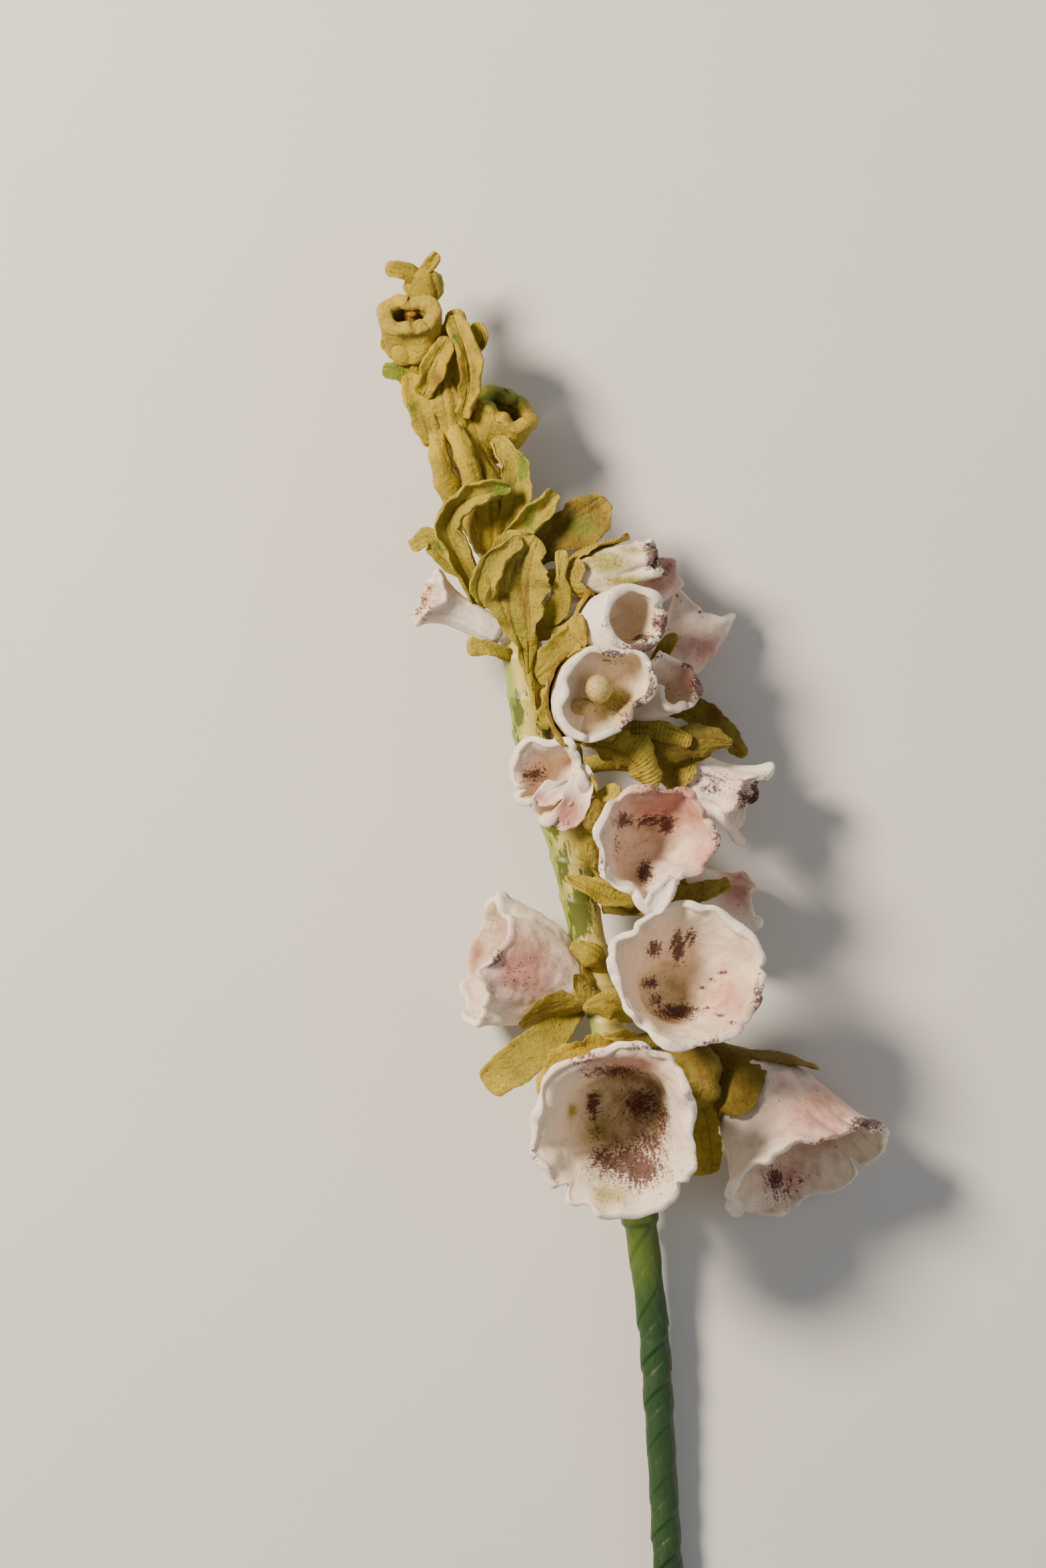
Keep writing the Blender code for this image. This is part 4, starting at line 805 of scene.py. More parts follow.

# Bracts: centre line, half widths along it, half of the arc that they curl through, the way they
# face, paste, and how they are finished. The olive paste on the bracts that lie behind is painted
# shade, a darker copy of the mustard paste.
BRACTS = {
    "bract_blade_left": (((-11, -5.5, 15), (-17, -11.5, 19.5), (-24, -17.2, 20.5), (-31, -22.3, 18.5)),
        (1.8, 3.8, 4.6, 3.4), 0.5, UP, "mustard", dict(seed=4, creases=1, wave=0.3, ragged=0.02)),
    "bract_stem_small": (((-5.5, 1, 16), (-8, 4.5, 20.5), (-13.2, 7.4, 21)), (1.8, 3, 1.6), -0.9, UP,
        "mustard", dict(seed=5)),
    "bract_mid_left": (((1, -8, 18), (-4, -5, 22.5), (-10.5, -5.8, 23.5)), (2.2, 3.4, 0.9), -0.6, UP,
        "mustard", dict(seed=6)),
    "bract_curled_brown": (((7, -12.5, 13), (13, -16.5, 20), (14.8, -21.5, 22.5), (12.5, -26.5, 20.5)),
        (1.8, 4.2, 4.6, 2.4), -0.8, UP, "olive", dict(seed=7, wave=0.9)),
    "bract_yellow_blade": (((9.5, -15, 11.5), (13.2, -26, 17), (14.2, -34, 19), (15.6, -41, 18.5)),
        (1.8, 3.4, 4.6, 2.8), 0.4, UP, "golden", dict(seed=8, creases=2)),
    "bract_curled_tip": (((1.5, 17, 21), (-4.5, 18, 24), (-10, 19.8, 25.5), (-14.2, 21.5, 24)),
        (1.6, 3, 2.4, 1.8), 0.7, UP, "mustard", dict(seed=9, twist=(0, 10, 40, 70))),
    "bract_back_olive": (((-6.5, 15.5, 15), (4, 15.5, 20.5), (13, 18, 21.5), (20.4, 20.6, 19.5)),
        (1.6, 2.2, 2.4, 1.4), 0.6, UP, "olive", dict(seed=10)),
    "bract_right_above": (((-3.5, 47.5, 21.5), (5, 48.4, 25.5), (14, 50.3, 25), (21, 49.8, 22.5)),
        (2.2, 3.4, 3.6, 1), -0.6, UP, "olive", dict(seed=11)),
    "bract_right_back": (((-3, 57, 9), (10, 58, 6.5), (18.5, 53, 7), (24, 47, 7.5)), (1.8, 3, 3, 1), 0.5,
        UP, "olive", dict(seed=12)),
    "bract_fold_under": (((-12, 52.5, 20), (-4, 52, 24), (4.5, 52.2, 26), (12.4, 50, 27)),
        (1.8, 2.6, 2.6, 1.4), -1, UP, "mustard", dict(seed=13, ribs=1, creases=2)),
    "bract_left_leaf": (((-19.5, 53, 20), (-17, 57.5, 24), (-15.6, 62, 25.5), (-15, 66.2, 25)),
        (1.6, 2.5, 2.3, 1.2), 0.8, UP, "mustard", dict(seed=14)),
    "bract_second": (((-21, 63, 20.5), (-17, 67, 24), (-13.5, 71, 25.5), (-12.2, 75.6, 25.5)),
        (1.8, 3.8, 3.6, 1), 0.7, UP, "mustard", dict(seed=15, wave=1)),
    "bract_club": (((-20, 74, 21.5), (-15.5, 78.5, 26), (-15.2, 84, 29), (-14.8, 90, 29.5)),
        (1.6, 2.9, 1.2, 1.8), 0.8, UP, "mustard", dict(seed=16, creases=2)),
    "bract_front_leaf": (((-21.9, 63, 22), (-22.6, 70, 24.5), (-23.8, 76.5, 26.5), (-24.6, 82.5, 28),
        (-23.6, 88.5, 29), (-20.4, 93, 29)), (0.5, 2.3, 5.2, 7.4, 6.8, 2.6), 0.75, UP, "mustard",
        dict(seed=17, wave=1, creases=8, stains=((-23.5, 73, 3, 4, 0.5),), umber=((-22.5, 80, 1, 6, 0.8),
        (-26.8, 80, 2.4, 1.4, 0.9)))),
    "bract_right_sheet": (((-24, 86, 20.5), (-16.5, 92.5, 21.5), (-10, 96.5, 22.5), (-5.4, 100.6, 21)),
        (2, 4.4, 5.2, 2.4), 0.6, UP, "olive", dict(seed=18, wave=1.1, stains=((-11, 96, 5, 5, 0.6),))),
    "bract_rolled": (((-28, 88, 22), (-23.5, 94, 24.5), (-19.5, 98.5, 25.5), (-16, 102, 24)),
        (2.4, 3.8, 3.8, 1.8), 1.7, UP, "mustard", dict(seed=19, stains=((-21.5, 97, 1.6, 4, 0.8),))),
    "bract_hook": (((-31, 78, 21.5), (-36, 88, 25.5), (-38.6, 95, 27), (-35.9, 99.8, 28),
        (-31.4, 102, 28.5), (-25.7, 103.4, 28)), (2.4, 4.2, 4.4, 4.2, 3.8, 1.8), 1.9, UP, "mustard",
        dict(seed=20, stains=((-27.5, 102.6, 3, 2.4, 0.9),))),
    "bract_left_lobe": (((-30, 82.5, 17.5), (-38.5, 88, 20.5), (-42.5, 92.6, 22), (-46.6, 90.6, 21.5)),
        (1.6, 2.4, 2.4, 1.4), 0.8, UP, "mustard", dict(seed=21, stains=((-40, 91, 2.4, 2.4, 0.8),))),
    "bract_left_club": (((-25.5, 68, 20.5), (-30, 69.6, 23.5), (-34.8, 70.2, 23.5)), (1.6, 1.6, 2.1), 0.5,
        UP, "mustard", dict(seed=22, creases=1)),
    "bract_right_curved": (((-28.5, 93, 21.5), (-24.6, 101, 23.5), (-24.8, 108, 23.5), (-29.4, 113.6, 23)),
        (2.2, 3.6, 3.6, 1.6), 1.2, UP, "mustard", dict(seed=23, stains=((-23, 108, 1.6, 5, 0.9),))),
    "bract_strip_left": (((-36.4, 97, 21.5), (-38.6, 103, 24.6), (-40.4, 109, 25.2), (-41.4, 115.4, 22.8)),
        (1.8, 2.7, 2.7, 1.6), -1.5, UP, "golden", dict(seed=24, creases=2, thickness=2.2)),
    "bract_strip_mid": (((-31.6, 98.5, 22.5), (-33.4, 104.5, 26), (-35.4, 110.5, 26.8), (-37.6, 116.4, 25)),
        (1.8, 2.6, 2.6, 1.5), -1.5, UP, "golden", dict(seed=25, creases=2, thickness=2.2)),
    "bract_column": (((-29.4, 89, 22.6), (-31.5, 103, 23.9), (-34.5, 111, 23.3), (-36.5, 118, 22.1)),
        (8.4, 6.8, 6.2, 4.2), -1.6, UP, "golden", dict(seed=26, wave=0.8, creases=8, thickness=2.2,
        umber=((-36.6, 106, 1.2, 7, 0.9), (-31.6, 106, 1.2, 7, 0.7)))),
    "bract_back_mid": (((-14.5, 30, 12.5), (-17, 36, 5.8), (-19.5, 43, 1.8), (-21.5, 50, 1.2)),
        (1.6, 3.4, 3.4, 1.2), 0.4, DOWN, "mustard", dict(seed=27, wave=0.2)),
    "bract_back_top": (((-27.5, 86, 13.5), (-31, 94, 10), (-36, 104, 9), (-40, 113, 10.5)),
        (2, 4.4, 4.2, 1.2), -0.8, DOWN, "olive", dict(seed=28)),
}

# Folded buds at the tip: each is a few sheets pressed together.
BUDS = {
    "bud_folded": ((((-39, 117, 20.5), (-39.4, 124, 23.5), (-38, 132, 23.9), (-36.6, 140.8, 21.5)),
        (5.6, 7, 5.4, 2), -1.3, UP, dict(seed=31, creases=8, wave=0.8, thickness=2.4)),
        (((-35.4, 111.5, 22.5), (-37.4, 116.5, 23.6), (-38.6, 121, 24.4), (-39.2, 126, 24.4)),
        (3.4, 4.6, 4.8, 2), -1.2, UP, dict(seed=41, creases=6, wave=1.2, thickness=2.2)),
        (((-47, 128.6, 20.5), (-45.6, 122.6, 22.5), (-43.6, 117, 22.5), (-42, 112, 21)), (1.6, 3, 2.8, 1.4),
        0.9, UP, dict(seed=42, creases=3, thickness=2, stains=((-46, 121, 1.6, 4, 0.6),))),
        (((-44.5, 133, 23), (-47.6, 131.4, 24.5), (-49.4, 134.2, 24)), (1.8, 3, 2), -0.9, UP, dict(seed=43,
        creases=3, thickness=2)), (((-44, 122.5, 23), (-42.5, 126, 26), (-41, 130, 26.5),
        (-38.5, 134.5, 25.5)), (1.8, 3.4, 3, 1.4), 1.3, UP, dict(seed=32, thickness=1.9,
        umber=((-41, 125.5, 1.6, 2.4, 0.8),))), (((-36, 118, 24.5), (-34, 124, 26.5), (-34.5, 131, 26.5),
        (-37.5, 139.5, 24)), (1.6, 2.8, 3.2, 2.4), 1.5, UP, dict(seed=33, thickness=1.9,
        umber=((-36.5, 127, 1.5, 5, 0.9),), stains=((-36.8, 134, 1.2, 2, 0.8),))), (((-33.5, 131.5, 22),
        (-32, 134.5, 22.5), (-33, 138, 21.5)), (1, 2, 1.2), 0.8, UP, dict(seed=34))),
    "bud_green_lobe": ((((-43, 122.5, 19), (-47.5, 127, 21.5), (-52.6, 128.2, 21.5)), (2, 2.6, 1.4), 0.5,
        UP, dict(seed=35, stains=((-50, 127.6, 4, 2.6, 1),))),),
    "bud_side_lobe": ((((-42, 129, 17.5), (-48, 132.4, 19), (-51.8, 136, 19.5)), (2.2, 3.4, 2.6), 0.6, UP,
        dict(seed=36, stains=((-48.5, 133, 1.2, 1.2, 0.5),))),),
    "bud_tip": ((((-44.2, 141, 18), (-44, 144.5, 19.5), (-44, 147.5, 19.9), (-44.2, 149.5, 19.5)),
        (3, 5, 4.4, 2.4), -1.1, UP, dict(seed=37, thickness=2.6, stains=((-41.5, 146, 1.5, 3, 0.5),))),
        (((-44.5, 147, 19.5), (-48, 149, 20.5), (-52, 149.5, 20)), (1.4, 2.2, 1.4), 0.8, UP, dict(seed=38)),
        (((-44, 148, 19.5), (-42.5, 150.5, 20.3), (-41, 152.6, 19.8)), (1.2, 1.6, 1.2), 0.8, UP,
        dict(seed=39))),
}

# Loose flaps of petal paste: centre line, half widths, curl, facing, paints, finish.
FLAPS = (
    (((7.9, 21.9, 38.4), (6.2, 19, 40), (4, 16.2, 40.2), (2.4, 14, 38.6)), (1.4, 2.8, 2.4, 1), 1.5, UP,
        {"blush": ((3, 19, 2, 3, 0.4),), "lip": ((2.6, 14.2, 1, 1, 0.6),)}, dict(seed=61, creases=0,
        thickness=2.2)),
    (((-10.9, 45.4, 33.6), (-11.2, 39.6, 35.4), (-13.6, 35, 35.4), (-16.4, 32.4, 33.8)),
        (1.8, 3.2, 3.2, 1.6), 0.7, UP, {"blush": ((-13.4, 35, 4, 5, 1),), "lip": ((-14.5, 33, 3, 1, 0.5),)},
        dict(seed=62, creases=2)),
    (((-20.8, 37.2, 33.4), (-18.2, 39, 34.6), (-15.9, 39.8, 34.6), (-13.4, 41.6, 33.2)), (1.4, 2.4, 2.2, 1),
        1, UP, {"blush": ((-19, 38, 3, 2, 0.8),)}, dict(seed=63, creases=2)),
    (((-28, 71.2, 22.4), (-31.4, 72.8, 23), (-35.4, 74.6, 22.6)), (2.2, 3.4, 2.2), -1.5, UP,
        {"moss": ((-30, 72, 3, 2, 0.3),)}, dict(seed=64, creases=1)),
)

# Small lumps of paste: place, radius, stretch and the paste that they are made of.
PELLETS = (
    ((-7.4, 61, 33.6), 3, (1, 1, 1), "ochre"),
    ((-10.4, 57.2, 32.6), 1.8, (1.3, 1, 1), "ochre"),
    ((7.8, -11.1, 30), 1.5, (1, 1, 1), "white"),
    ((26.2, 12, 14.2), 1.5, (1, 1, 1), "white"),
    ((-46.3, 139.4, 25.2), 0.75, (1.5, 1, 1), "amber"),
)

# Small folds beside the bracts and the strand on the stem, in the same form as the bracts.
FOLDS = {
    "fold_0": (((-4, -14, 35), (-9.4, -14.2, 37.5), (-15.4, -17.2, 38.5), (-19.4, -23.6, 38)),
        (1.6, 3.2, 3.2, 1.4), 0.5, UP, "golden", dict(seed=80, creases=2, wave=0.9, ragged=0.12)),
    "fold_1": (((0.5, -11.5, 30), (-3, -12.2, 33.5), (-7, -11.6, 34)), (1.4, 2.6, 1.2), 0.8, UP, "mustard",
        dict(seed=86, creases=2, umber=((-3, -12, 3, 2, 0.5),))),
    "fold_2": (((-31.6, 78.8, 27.4), (-31, 83.2, 29.8), (-28.4, 88.2, 31.2), (-23.4, 92.4, 30.6)),
        (1.6, 3.4, 3.2, 1.4), 1.3, UP, "mustard", dict(seed=81, creases=4, umber=((-28, 80, 3, 2, 0.7),))),
    "fold_3": (((-5.2, 21.8, 25.5), (-8.2, 27.5, 30.5), (-7.6, 34.5, 33), (-3.2, 41, 34)),
        (1.6, 3.6, 3.6, 1.4), 0.6, (-0.5, 0.1, 0.85), "mustard", dict(seed=82, creases=3, wave=0.9)),
    "fold_4": (((4.4, 66.4, 19.5), (6.8, 69.6, 21.5), (9.2, 72.6, 20.5)), (1.2, 2, 0.8), 0.7, UP, "olive",
        dict(seed=83, creases=2, stains=((7, 70, 2, 3, 0.4),))),
    "fold_5": (((-11, 51, 23), (-4.4, 49.6, 29), (1.2, 46.4, 30.2), (4.8, 40.4, 28)), (2.4, 3.8, 4.4, 2.2),
        -0.9, UP, "mustard", dict(seed=84, ribs=0.9, creases=5, wave=1.1,
        umber=((-2, 46.4, 6, 2.6, 0.6),))),
    "fold_6": (((-11, 51, 22), (-10.2, 54.6, 26.5), (-10.4, 58.5, 29)), (2, 3, 1.4), 0.8, (-0.6, -0.2, 0.8),
        "mustard", dict(seed=85, creases=3)),
    "strand": (((-21.9, 65, 22.4), (-21.3, 62.2, 22.9), (-20.8, 58.5, 22.6), (-20.1, 54.6, 22)), (0.9, 0.6,
        0.55, 0.4), 0.5, UP, "mustard", dict(thickness=1, seed=71, creases=0)),
}

# Green patches brushed on the pale stem, as marks.
BRUSHED = (
    (-11, 14.5, 2.6, 6.5, 1), (-14.5, 24, 1.6, 4.4, 0.8), (-12.8, 6.5, 1.2, 5, 0.7),
    (-18.2, 54, 1.8, 3.5, 0.95), (-24, 56, 1.5, 5, 0.8), (-23, 46, 1.5, 5, 0.7),
    (-16.5, 33, 1.4, 4, 0.8), (-1.5, -30, 2, 3, 0.6),
)

# Lamps: name, place and size in metres, power in watts and colour.
LAMPS = (
    ("key_lamp", (-0.68, 0.44, 0.76), 0.30, 26.0, "#ffeeda"),
    ("fill_lamp", (0.9, -0.3, 0.9), 1.2, 3.0, "#eef3ff"),
)
LAMP_TARGET = (-0.005, 0.03, 0.02)
CAMERA_PLACE = (-0.02303, 0.04116, 1.52)    # in metres, straight above the upper half of the spike


# --- materials -------------------------------------------------------------------------------


def add(tree, kind, inputs=None, **settings):
    """A node with its settings; inputs are values or sockets, by name or number."""
    node = tree.nodes.new(kind)
    for key, value in settings.items():
        setattr(node, key, value)
    feed(tree, node, inputs or {})
    return node


def feed(tree, node, inputs):
    """Give a node's inputs their values or sockets."""
    for key, value in inputs.items():
        if isinstance(value, bpy.types.NodeSocket):
            tree.links.new(value, node.inputs[key])
        else:
            node.inputs[key].default_value = value


def tint(name, gain=1.0):
    """A colour setting by its name or an sRGB hex code, made lighter or darker, for a socket."""
    value = linear(name) if name[0] == "#" else getattr(bpy.context.scene.foxglove_colours, name)
    return (*(min(v * gain, 1.0) for v in value), 1.0)


# White paste, dried in air after it was rolled thin: chalky, softly lit through, with dust and
# paint caught on its grain.
PETAL_PASTE = dict(
    base="petal", masks=("inside", "bruise", "lip", "blush", "moss", "deep"),
    patterns=(("strokes", "streak", 1 / 0.9, 6.0, 0.72), ("soft", "", 3.0, 4.0, 0.55),
              ("fine", "", 0.7, 5.0, 0.7), ("specks", "", 0.5, 2.0, 0.55), ("cloud", "", 9.0, 2.0, 0.55)),
    blends=(("gritty", "ShaderNodeMix", {0: 0.5, 2: "strokes", 3: "fine"}, {}),
            ("dusted", "ShaderNodeMath", {0: "bruise", 1: "lip"}, {"operation": "MAXIMUM"}),
            ("speckled", "ShaderNodeMath", {0: "dusted", 1: 0.12, 2: 0.025},
             {"operation": "MULTIPLY_ADD"})),
    layers=(("inside", "cloud", 0.5, 0.2, 1.2, 0.55, "throat", 1.0),
            ("inside", "cloud", 1.0, -0.35, -0.1, 0.06, "blush", 1.0),
            ("moss", "soft", 0.8, 0.0, 1.1, 0.9, "moss", 1.0),
            ("moss", "fine", 2.4, 0.6, 1.1, 0.6, "moss", 0.5),
            # painted throat shade: the brown of "deep", laid down the throat
            ("deep", "soft", 1.0, 0.0, 0.9, 0.85, "deep", 1.0),
            ("blush", "soft", 0.6, 0.05, 0.95, 0.8, "blush", 1.0),
            ("blush", "soft", 0.8, 0.55, 1.2, 0.45, "bruise", 3.6),
            ("bruise", "gritty", 3.6, 0.45, 0.8, 0.9, "bruise", 1.0),
            ("lip", "fine", 2.6, 0.35, 0.75, 0.88, "bruise", 1.0),
            ("speckled", "specks", 1.0, 0.2, 0.24, 0.75, "bruise", 0.7)),
    bumps=(("fine", 0.45, 0.2), ("soft", 0.5, 0.5), ("strokes", 0.3, 0.3)),
    rough=("soft", 0.5, 0.68), lit_through=(0.18, (1.0, 0.72, 0.5), 1.2), shine=0.3, ior=1.45)


def leaf_paste(paste, deep):
    """Paste coloured through and dried: matt, fibrous and stained green; umber in its cracks and grooves is
    brown paint and painted crease shade as well.
    """
    return dict(
        base=paste, masks=("groove", "tip", "stain", "umber", "comb"),
        patterns=(("fibre", "fibre", 0.625, 5.0, 0.65), ("cloud", "", 6.0, 3.0, 0.55),
                  ("patch", "", 2.2, 4.0, 0.65), ("fine", "", 0.8, 4.0, 0.7)),
        layers=(("", "cloud", 1.0, -0.2, 0.25, 0.75, deep, 1.0),
                ("", "patch", 1.0, 0.02, 0.3, 0.5, paste, 1.2),
                ("tip", "patch", 0.9, 0.45, 1.3, 0.5, "tip", 1.0),
                ("", "fibre", 1.0, 0.04, 0.26, 0.2, "umber", 1.0),
                ("stain", "patch", 1.4, 0.3, 0.75, 0.8, "stain", 1.0),
                ("", "fine", 1.0, 0.0, 0.18, 0.55, deep, 0.6),
                ("", "patch", 1.0, 0.1, 0.24, 0.25, "stain", 1.0),
                ("umber", "fibre", 0.8, 0.2, 0.9, 0.75, "umber", 1.0),
                # painted shade and brown in the creases: umber laid along the grooves
                ("groove", "fine", 0.8, 0.3, 1.1, 0.55, "umber", 1.0)),
        bumps=(("fine", 1.0, 0.55), ("comb", -0.6, 0.3), ("fibre", 0.5, 0.3)),
        rough=("cloud", 0.6, 0.78), lit_through=(0.1, (0.85, 0.75, 0.25), 0.8), shine=0.25)


def lump_paste(light, dark):
    """Rounded lump of paste: matt, speckled where dust has settled on it."""
    return dict(
        base=("fine", 0.45, 0.7, light, dark), patterns=(("fine", "", 0.6, 4.0, 0.7),),
        bumps=(("fine", 0.6, 0.2),), rough=0.6, lit_through=(0.06, None, 1.0))


MATERIALS = {
    "air_dry_paste_petal": PETAL_PASTE,
    "air_dry_paste_calyx": leaf_paste("calyx", "olive"),
    "air_dry_paste_mustard": leaf_paste("bract", "olive"),
    # Painted shade: a darker copy of the mustard paste for the bracts and calyx that lie behind.
    "air_dry_paste_olive": leaf_paste("olive", "umber"),
    "air_dry_paste_golden": leaf_paste("bud", "olive"),
    "air_dry_paste_ochre": lump_paste("#c4ac70", "#8d7a36"),
    "air_dry_paste_white": lump_paste("#f1ebdf", "#d9c9ab"),
    "air_dry_paste_amber": lump_paste("#8f6212", "#6b3c10"),
    # Paste smoothed over the wire: pale, a little waxy, with leaf green dry-brushed on it.
    "smoothed_stem_paste": dict(
        base="stem", masks=("band", "left", "brush", "golden"),
        patterns=(("strokes", "streak", 1 / 1.1, 6.0, 0.7), ("cloud", "", 7.0, 3.0, 0.55),
                  ("fine", "", 0.6, 4.0, 0.65)),
        layers=(("band", "cloud", 1.0, 0.0, 1.1, 0.6, "#b3ae5a", 1.0),
                ("left", "cloud", 0.7, 0.1, 0.9, 0.9, "#84983a", 1.0),
                ("brush", "strokes", 2.6, 0.25, 0.5, 0.96, "brush", 0.85),
                ("golden", "cloud", 0.6, 0.3, 0.8, 1.0, "bud", 0.8)),
        bumps=(("fine", 0.3, 0.12),), rough=0.45, lit_through=(0.15, (1.0, 0.8, 0.35), 1.0)),
    # Crepe paper tape, waxed and stretched: dull green, paler on its edge and yellow-green near the
    # flowers; the paler edge is partly a painted highlight along the ridge and the yellow-green partly
    # painted light shining through the tape.
    "waxed_crepe_tape": dict(
        base="tape", masks=("ridge", "top"),
        patterns=(("cloud", "", 8.0, 3.0, 0.55), ("crepe", "streak", 1 / 2.4, 4.0, 0.6)),
        layers=(("top", "cloud", 0.5, 0.0, 1.1, 0.8, "#5d6f12", 1.0),
                ("ridge", "crepe", 0.8, 0.25, 1.2, 0.5, "tape", 1.4),
                ("", "cloud", 1.0, -0.1, 0.3, 0.6, "tape", 0.5)),
        bumps=(("crepe", 0.6, 0.2),), rough=0.48),
    # Steel wire, drawn and annealed: dull grey, with marks along its length.
    "annealed_steel_wire": dict(
        base=("marks", 0.0, 1.0, "#6f6e6a", "#9a9993"), metallic=1.0, rough=0.4,
        blends=(("drawn", "ShaderNodeMapping", {"Vector": "place", "Scale": (4000.0, 120.0, 4000.0)}, {}),
                ("marks", "ShaderNodeTexNoise", {"Vector": "drawn", "Scale": 1.0}, {}))),
    # Board painted matt: plain and pale, its coat faintly uneven.
    "matt_painted_board": dict(
        base=("coat", 0.0, 1.0, "floor", "floor"), gains=(0.96, 1.03), rough=0.85,
        patterns=(("coat", "", 60.0, 4.0, 0.55),)),
}


def made(name):
    """A material by its name, made when it is first asked for."""
    return bpy.data.materials.get(name) or coated(name, **MATERIALS[name])


def coated(name, base, rough, masks=(), patterns=(), blends=(), layers=(), bumps=(), gains=(1.0, 1.0),
           lit_through=None, metallic=0.0, shine=0.5, ior=1.5):
    """A new material of paints laid over a base, with its surface pushed in and out by patterns.

    masks: attributes painted on the mesh.
    patterns: name, attribute that it lies on or none for the object, size in mm, detail, roughness.
    blends: name, kind of node, its inputs and its settings.
    base: a colour, or a pattern, where it starts and ends to turn, and the two colours it turns between.
    layers: mask, pattern, how broken, from, to, strongest, colour and gain.
    bumps: pattern, strength, less than 0 where it is pushed in, and depth in mm.
    lit_through: how far light goes through: weight, reach of each colour and scale in mm.
    """
    material = bpy.data.materials.new(name)
    material.use_nodes = True
    tree = material.node_tree
    shader = tree.nodes["Principled BSDF"]
    found = {"": 0.0, "place": add(tree, "ShaderNodeTexCoord").outputs["Object"]}
    for label in masks:
        found[label] = add(tree, "ShaderNodeAttribute", attribute_name=label).outputs["Fac"]
    for label, on, size, detail, rougher in patterns:
        lies = found["place"]
        if on:
            lies = add(tree, "ShaderNodeAttribute", attribute_name=on).outputs["Vector"]
        found[label] = add(tree, "ShaderNodeTexNoise", {
            "Vector": lies, "Scale": 1 / size if on else 1 / (size * MM), "Detail": detail,
            "Roughness": rougher}).outputs["Fac"]
    for label, kind, inputs, settings in blends:
        inputs = {key: found.get(value, value) for key, value in inputs.items()}
        found[label] = add(tree, kind, inputs, **settings).outputs[0]
    if isinstance(base, str):
        ground = tint(base)
    else:
        pattern, low, high, one, other = base
        turned_to = add(tree, "ShaderNodeMapRange", {
            "Value": found[pattern], "From Min": low, "From Max": high})
        ground = add(tree, "ShaderNodeMix", {
            0: turned_to.outputs[0], 6: tint(one, gains[0]), 7: tint(other, gains[1])},
            data_type="RGBA").outputs[2]
    for mask, pattern, broken, low, high, most, paint, gain in layers:
        coverage = add(tree, "ShaderNodeMath", {0: found[pattern], 1: broken, 2: found[mask]},
                   operation="MULTIPLY_ADD")
        shown = add(tree, "ShaderNodeMapRange", {
            "Value": coverage.outputs[0], "From Min": low + broken / 2, "From Max": high + broken / 2,
            "To Max": most}, interpolation_type="SMOOTHSTEP")
        ground = add(tree, "ShaderNodeMix", {0: shown.outputs[0], 6: ground, 7: tint(paint, gain)},
                     data_type="RGBA").outputs[2]
    given = {"Base Color": ground, "Metallic": metallic, "Specular IOR Level": shine, "IOR": ior}
    for pattern, strength, depth in bumps:
        wiring = {"Strength": abs(strength), "Distance": depth * MM, "Height": found[pattern]}
        if "Normal" in given:
            wiring["Normal"] = given["Normal"]
        given["Normal"] = add(tree, "ShaderNodeBump", wiring, invert=strength < 0).outputs[0]
    given["Roughness"] = rough
    if isinstance(rough, tuple):
        swing = {"Value": found[rough[0]], "To Min": rough[1], "To Max": rough[2]}
        given["Roughness"] = add(tree, "ShaderNodeMapRange", swing).outputs[0]
    if lit_through:
        weight, reach, scale = lit_through
        given["Subsurface Weight"] = weight
        given["Subsurface Scale"] = scale * MM
        if reach:
            given["Subsurface Radius"] = reach
    feed(tree, shader, given)
    return material


# --- operators ---------------------------------------------------------------------------------


